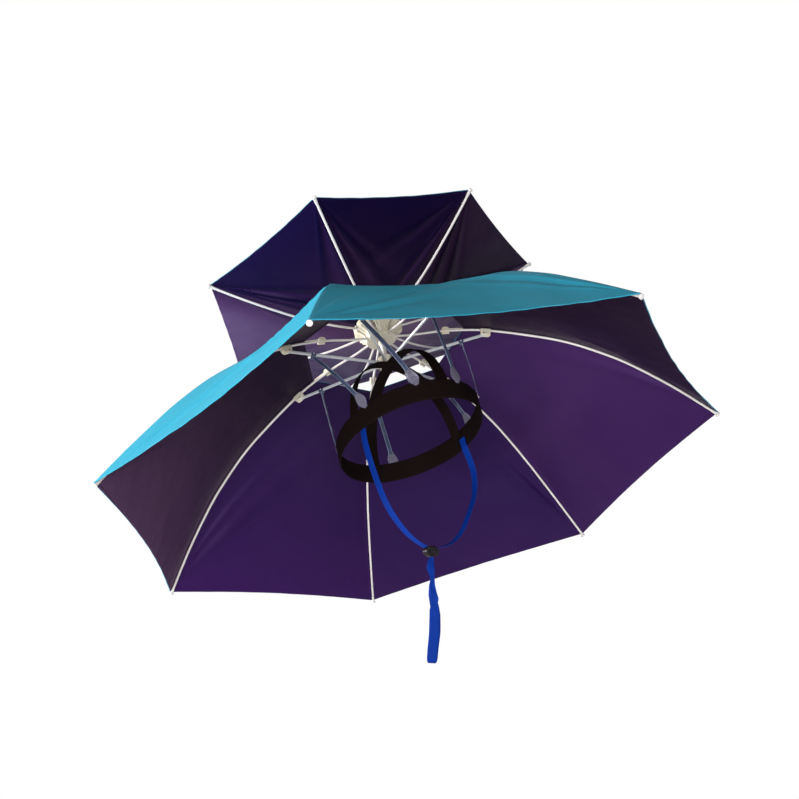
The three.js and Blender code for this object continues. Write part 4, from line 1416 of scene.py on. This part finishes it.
def makeCrownStrap(name, node, degrees, lift):
    turn = math.radians(degrees)
    ahead = Vector((math.cos(turn), math.sin(turn), 0))
    reach = 1 / math.hypot(ahead.x / band["insideX"], ahead.y / band["insideY"])
    square = Vector((ahead.x / band["insideX"] ** 2, ahead.y / band["insideY"] ** 2, 0)).normalized()
    slant = abs(ahead.x * square.y - ahead.y * square.x)
    hook = (band["strapWidth"] / 2) ** 2 / reach + slant * band["strapWidth"] / 2
    halfSpan = reach - hat["gap"] - 0.00025 - band["strapThickness"] / 2 - hook
    foot = band["height"] - band["lap"]
    points = []
    for i in range(band["strapSteps"] + 1):
        a = math.pi * i / band["strapSteps"]
        flat = -math.cos(a)
        out = halfSpan * math.copysign(abs(flat) ** band["fullness"], flat)
        height = foot + (band["crown"] + lift - foot) * math.sin(a)
        points.append((out * ahead.x, out * ahead.y - band["forward"], height))
    strap = wovenStrip(name, smoothPath(points), band["strapWidth"] - 0.0004, band["strapThickness"] - 0.0001,
                       lambda t: Vector((-ahead.y, ahead.x, 0)), columns=12,
                       lift=lambda x, t: band["strapCurl"] * math.cos(60 * math.pi * t) * x * x)
    setMaterials(strap, blackElastic)
    finishPiece(strap, name, "elastic", node)


makeHeadband()
makeCrownStrap("crossStrap", "crown_strap_cross", 0, band["crossLift"])
makeCrownStrap("longStrap", "crown_strap_long", band["longTurn"], band["longLift"])
print("headband made")


# Legs: a block on the stretcher, a shallow channel that bends out, and a leaf-shaped foot by the band
leg = {
    "width": 0.0056,
    "thickness": 0.0016,
    "footTurns": [0, 28.6, 71, 154.3, -154.3, -71, -28.6],
    "footLap": 0.005,
    "bowOut": 0.002,
    "lean": 0.24,
    "riseShare": 0.35,
    "topPull": 0.4,
    "widths": [(0, 1), (0.78, 1), (0.88, 2.3), (0.93, 2.4), (1, 0.8)],
    "blockLength": 0.006,
    "blockWall": 0.0013,
    "blockFloor": 0.0026,
    "blockRound": 0.0022,
    "pinRadius": 0.0009,
    "pinShow": 0.0008,
    "slot": 0.0032,
    "steps": 56,
    "rim": 0.0005,  # height of the raised edges
    "rimFrom": 0.64,  # where they begin, from the middle to the side
    "footFrom": 0.80,
}


def makeLegBlock():
    half = leg["slot"] / 2
    top, bottom = half - leg["blockWall"] / 2, -half - leg["blockFloor"]
    width = leg["slot"] + 2 * leg["blockWall"]
    body = makeBox((leg["blockLength"], width, top - bottom), (0, 0, (top + bottom) / 2))
    roundCorners(body, leg["blockRound"], 5, -1)
    cutAway(body, slotBox(leg["slot"], -half, 1))
    roundEdges(body, 0.0003)
    setMaterials(body, legPlastic)
    pin = makePin(leg["pinRadius"], width + leg["pinShow"], (0, 0, 0), 20, 0.0002, zincSteel)
    block = joinAll(body, pin)
    stand(block, pivot, strutRun, strutOut)
    return block


def legCurve(index):
    top = pivot - strutOut * (leg["slot"] / 2 + 0.8 * leg["blockFloor"])
    top = Matrix.Rotation(ribTurn(index), 3, "Z") @ top
    angle = math.radians(leg["footTurns"][index])
    ahead = Vector((math.sin(angle), -math.cos(angle), 0))
    halfX, halfY = band["insideX"] + 0.002, band["insideY"] + 0.002
    outward = Vector((ahead.x / halfX**2, ahead.y / halfY**2, 0)).normalized()
    foot = ahead / math.hypot(ahead.x / halfX, ahead.y / halfY)
    foot += outward * (hat["gap"] + leg["thickness"] / 2)
    foot.y -= band["forward"]
    foot.z = band["height"] - leg["footLap"]
    above = foot + outward * leg["bowOut"]
    above.x += leg["lean"] * (top.x - foot.x)
    above.y += leg["lean"] * (top.y - foot.y)
    above.z += leg["riseShare"] * (top.z - foot.z)
    middle = top.lerp(above, leg["topPull"])
    path = []
    for n in range(leg["steps"] + 1):
        t = n / leg["steps"]
        s = 1 - t
        path.append(top * s**3 + middle * (3 * s * s * t) + above * (3 * s * t * t) + foot * t**3)
    return path, outward


def raiseRims(body, layer):  # both faces of the edge strips rise, so that the middle lies deeper
    moves = {}
    for polygon in body.data.polygons:
        across = layer[polygon.loop_indices[0]].uv.x + layer[polygon.loop_indices[2]].uv.x
        isSide = abs(across - leg["width"]) > 1.97 * leg["width"] / 2
        if polygon.material_index == 1 and not isSide:
            for vertex in polygon.vertices:
                moves.setdefault(vertex, polygon.normal * leg["rim"] / 2)
    for vertex, out in moves.items():
        body.data.vertices[vertex].co += out


def makeLeg(index, block):
    path, outward = legCurve(index)
    turn = ribTurn(index)
    topSide = Vector((-math.sin(turn), math.cos(turn), 0))
    footSide = Vector((-outward.y, outward.x, 0))
    body = wovenStrip("leg", path, leg["width"], leg["thickness"] * 0.75, lambda t: topSide.lerp(footSide, t),
                      lambda t: tableAt(leg["widths"], t), columns=12)
    layer = body.data.uv_layers["weave"].data
    total = pathLength(path)
    centre = leg["width"] / 2
    for polygon in body.data.polygons:
        middle = sum((layer[i].uv for i in polygon.loop_indices), Vector((0, 0))) / len(polygon.loop_indices)
        isFoot = middle.y / total > leg["footFrom"]
        isRim = abs(middle.x - centre) > leg["rimFrom"] * centre
        polygon.material_index = 2 if isFoot else (1 if isRim else 0)
    raiseRims(body, layer)
    setMaterials(body, legPlastic, legEdge, footPlastic)
    piece = joinAll(body, copyToRib(block, index))
    shadeSmooth(piece, 40)
    finishPiece(piece, f"leg{index + 1}", "legs", f"leg_{index + 1}")


def makeLegs():
    block = makeLegBlock()
    for k in range(hat["ribCount"]):
        makeLeg(k, block)
    bpy.data.objects.remove(block, do_unlink=True)


makeLegs()
print("legs made")


# Cord lock: a rounded bean with a hole and a raised button; the hole's inside is painted darker, painted
# shade
lock = {
    "round": 0.0031,
    "hole": 0.0019,
    "holeDeep": 0.0022,
    "holeAt": (-0.0045, 0.0004),
    "button": 0.0030,
    "buttonAt": 0.0040,
    "rise": 0.0007,  # of the button on both faces together
}


def makeLock():
    body = makeCylinder(0.5, chinStrap["lockDepth"], (0, 0, 0), vertices=56)
    body.scale = (chinStrap["lockWidth"], chinStrap["lockHeight"], 1)
    settle(body)
    insetFaces(body, lambda face: abs(face.normal.z) > 0.9, 0.0004)
    roundEdges(body, lock["round"], 7, 50)
    deep = chinStrap["lockDepth"]
    hole = makeCylinder(lock["hole"], 2 * lock["holeDeep"], (*lock["holeAt"], deep / 2), vertices=28)
    hole.data.materials.append(lockHole)
    setMaterials(body, lockPlastic, lockHole)
    cutAway(body, hole)
    button = makeCylinder(lock["button"], deep + lock["rise"], (lock["buttonAt"], 0, 0), vertices=36)
    roundEdges(button, 0.0007, 4)
    setMaterials(button, lockPlastic)
    piece = joinAll(body, button)
    roundEdges(piece, 0.00025, 2, 50)
    shadeSmooth(piece, 45)
    stand(piece, lockCentre, lockSide, lockFacing)
    return finishPiece(piece, "cordLock", "lock", "cord_lock")


cordLock = makeLock()
print("cord lock made")

# Floor and light
studio = {"floor": -1.3, "floorSize": 60, "backdrop": 1.0, "ambient": 0.37, "floorGlow": 0.42}


def makeFloor():
    floor = newSolid(bpy.ops.mesh.primitive_plane_add, size=studio["floorSize"],
                     location=(0, 0, studio["floor"]))
    floor.name = "floor"
    material, tree, shader = newMaterial("paleFloor", {"Roughness": 0.9, "Emission Color": (1, 1, 1, 1)})
    sight = addNode(tree, "ShaderNodeLightPath").outputs["Is Camera Ray"]
    glow = compute(tree, "MULTIPLY", sight, studio["floorGlow"])
    feed(tree, shader.inputs["Emission Strength"], glow)
    mottle = useGroup(tree, mottleGroup, Vector=objectPlace(tree), Scale=2.0, Contrast=0.5)["Value"]
    pale = mixColours(tree, mottle, (0.80, 0.80, 0.80), (0.84, 0.84, 0.84))
    feed(tree, shader.inputs["Base Color"], pale)
    setMaterials(floor, material)


def makeWorld():
    world = bpy.data.worlds.new("studio")
    bpy.context.scene.world = world
    world.use_nodes = True
    tree = world.node_tree
    tree.nodes.clear()
    mix = addNode(tree, "ShaderNodeMixShader")
    feed(tree, mix.inputs[0], addNode(tree, "ShaderNodeLightPath").outputs["Is Camera Ray"])
    for socket, strength in ((mix.inputs[1], studio["ambient"]), (mix.inputs[2], studio["backdrop"])):
        white = addNode(tree, "ShaderNodeBackground")
        feed(tree, white.inputs["Color"], (1, 1, 1, 1))
        feed(tree, white.inputs["Strength"], strength)
        feed(tree, socket, white.outputs[0])
    feed(tree, addNode(tree, "ShaderNodeOutputWorld").inputs[0], mix.outputs[0])


def makeLight(name, spot, target, size, power, spread=120):
    data = bpy.data.lights.new(name, "AREA")
    data.shape = "DISK"
    data.size = size
    data.energy = power
    data.spread = math.radians(spread)
    obj = newObject(name, data)
    obj.location = spot
    obj.rotation_euler = (Vector(target) - Vector(spot)).to_track_quat("-Z", "Y").to_euler()


makeFloor()
makeWorld()
makeLight("keyLeft", (-1.92, 1.34, 0.53), (0, 0, 0.05), 1.1, 62)
makeLight("fill", (-1.10, -1.20, -0.95), (0, 0, 0.05), 0.9, 7.6, 90)
makeLight("lowLeft", (-1.75, -0.45, -0.75), (0, 0, 0), 0.5, 4.1, 90)
makeLight("backTop", (2.2, 2.2, 3.0), (0, 0, -0.4), 2.0, 55, 150)
print("studio lit")
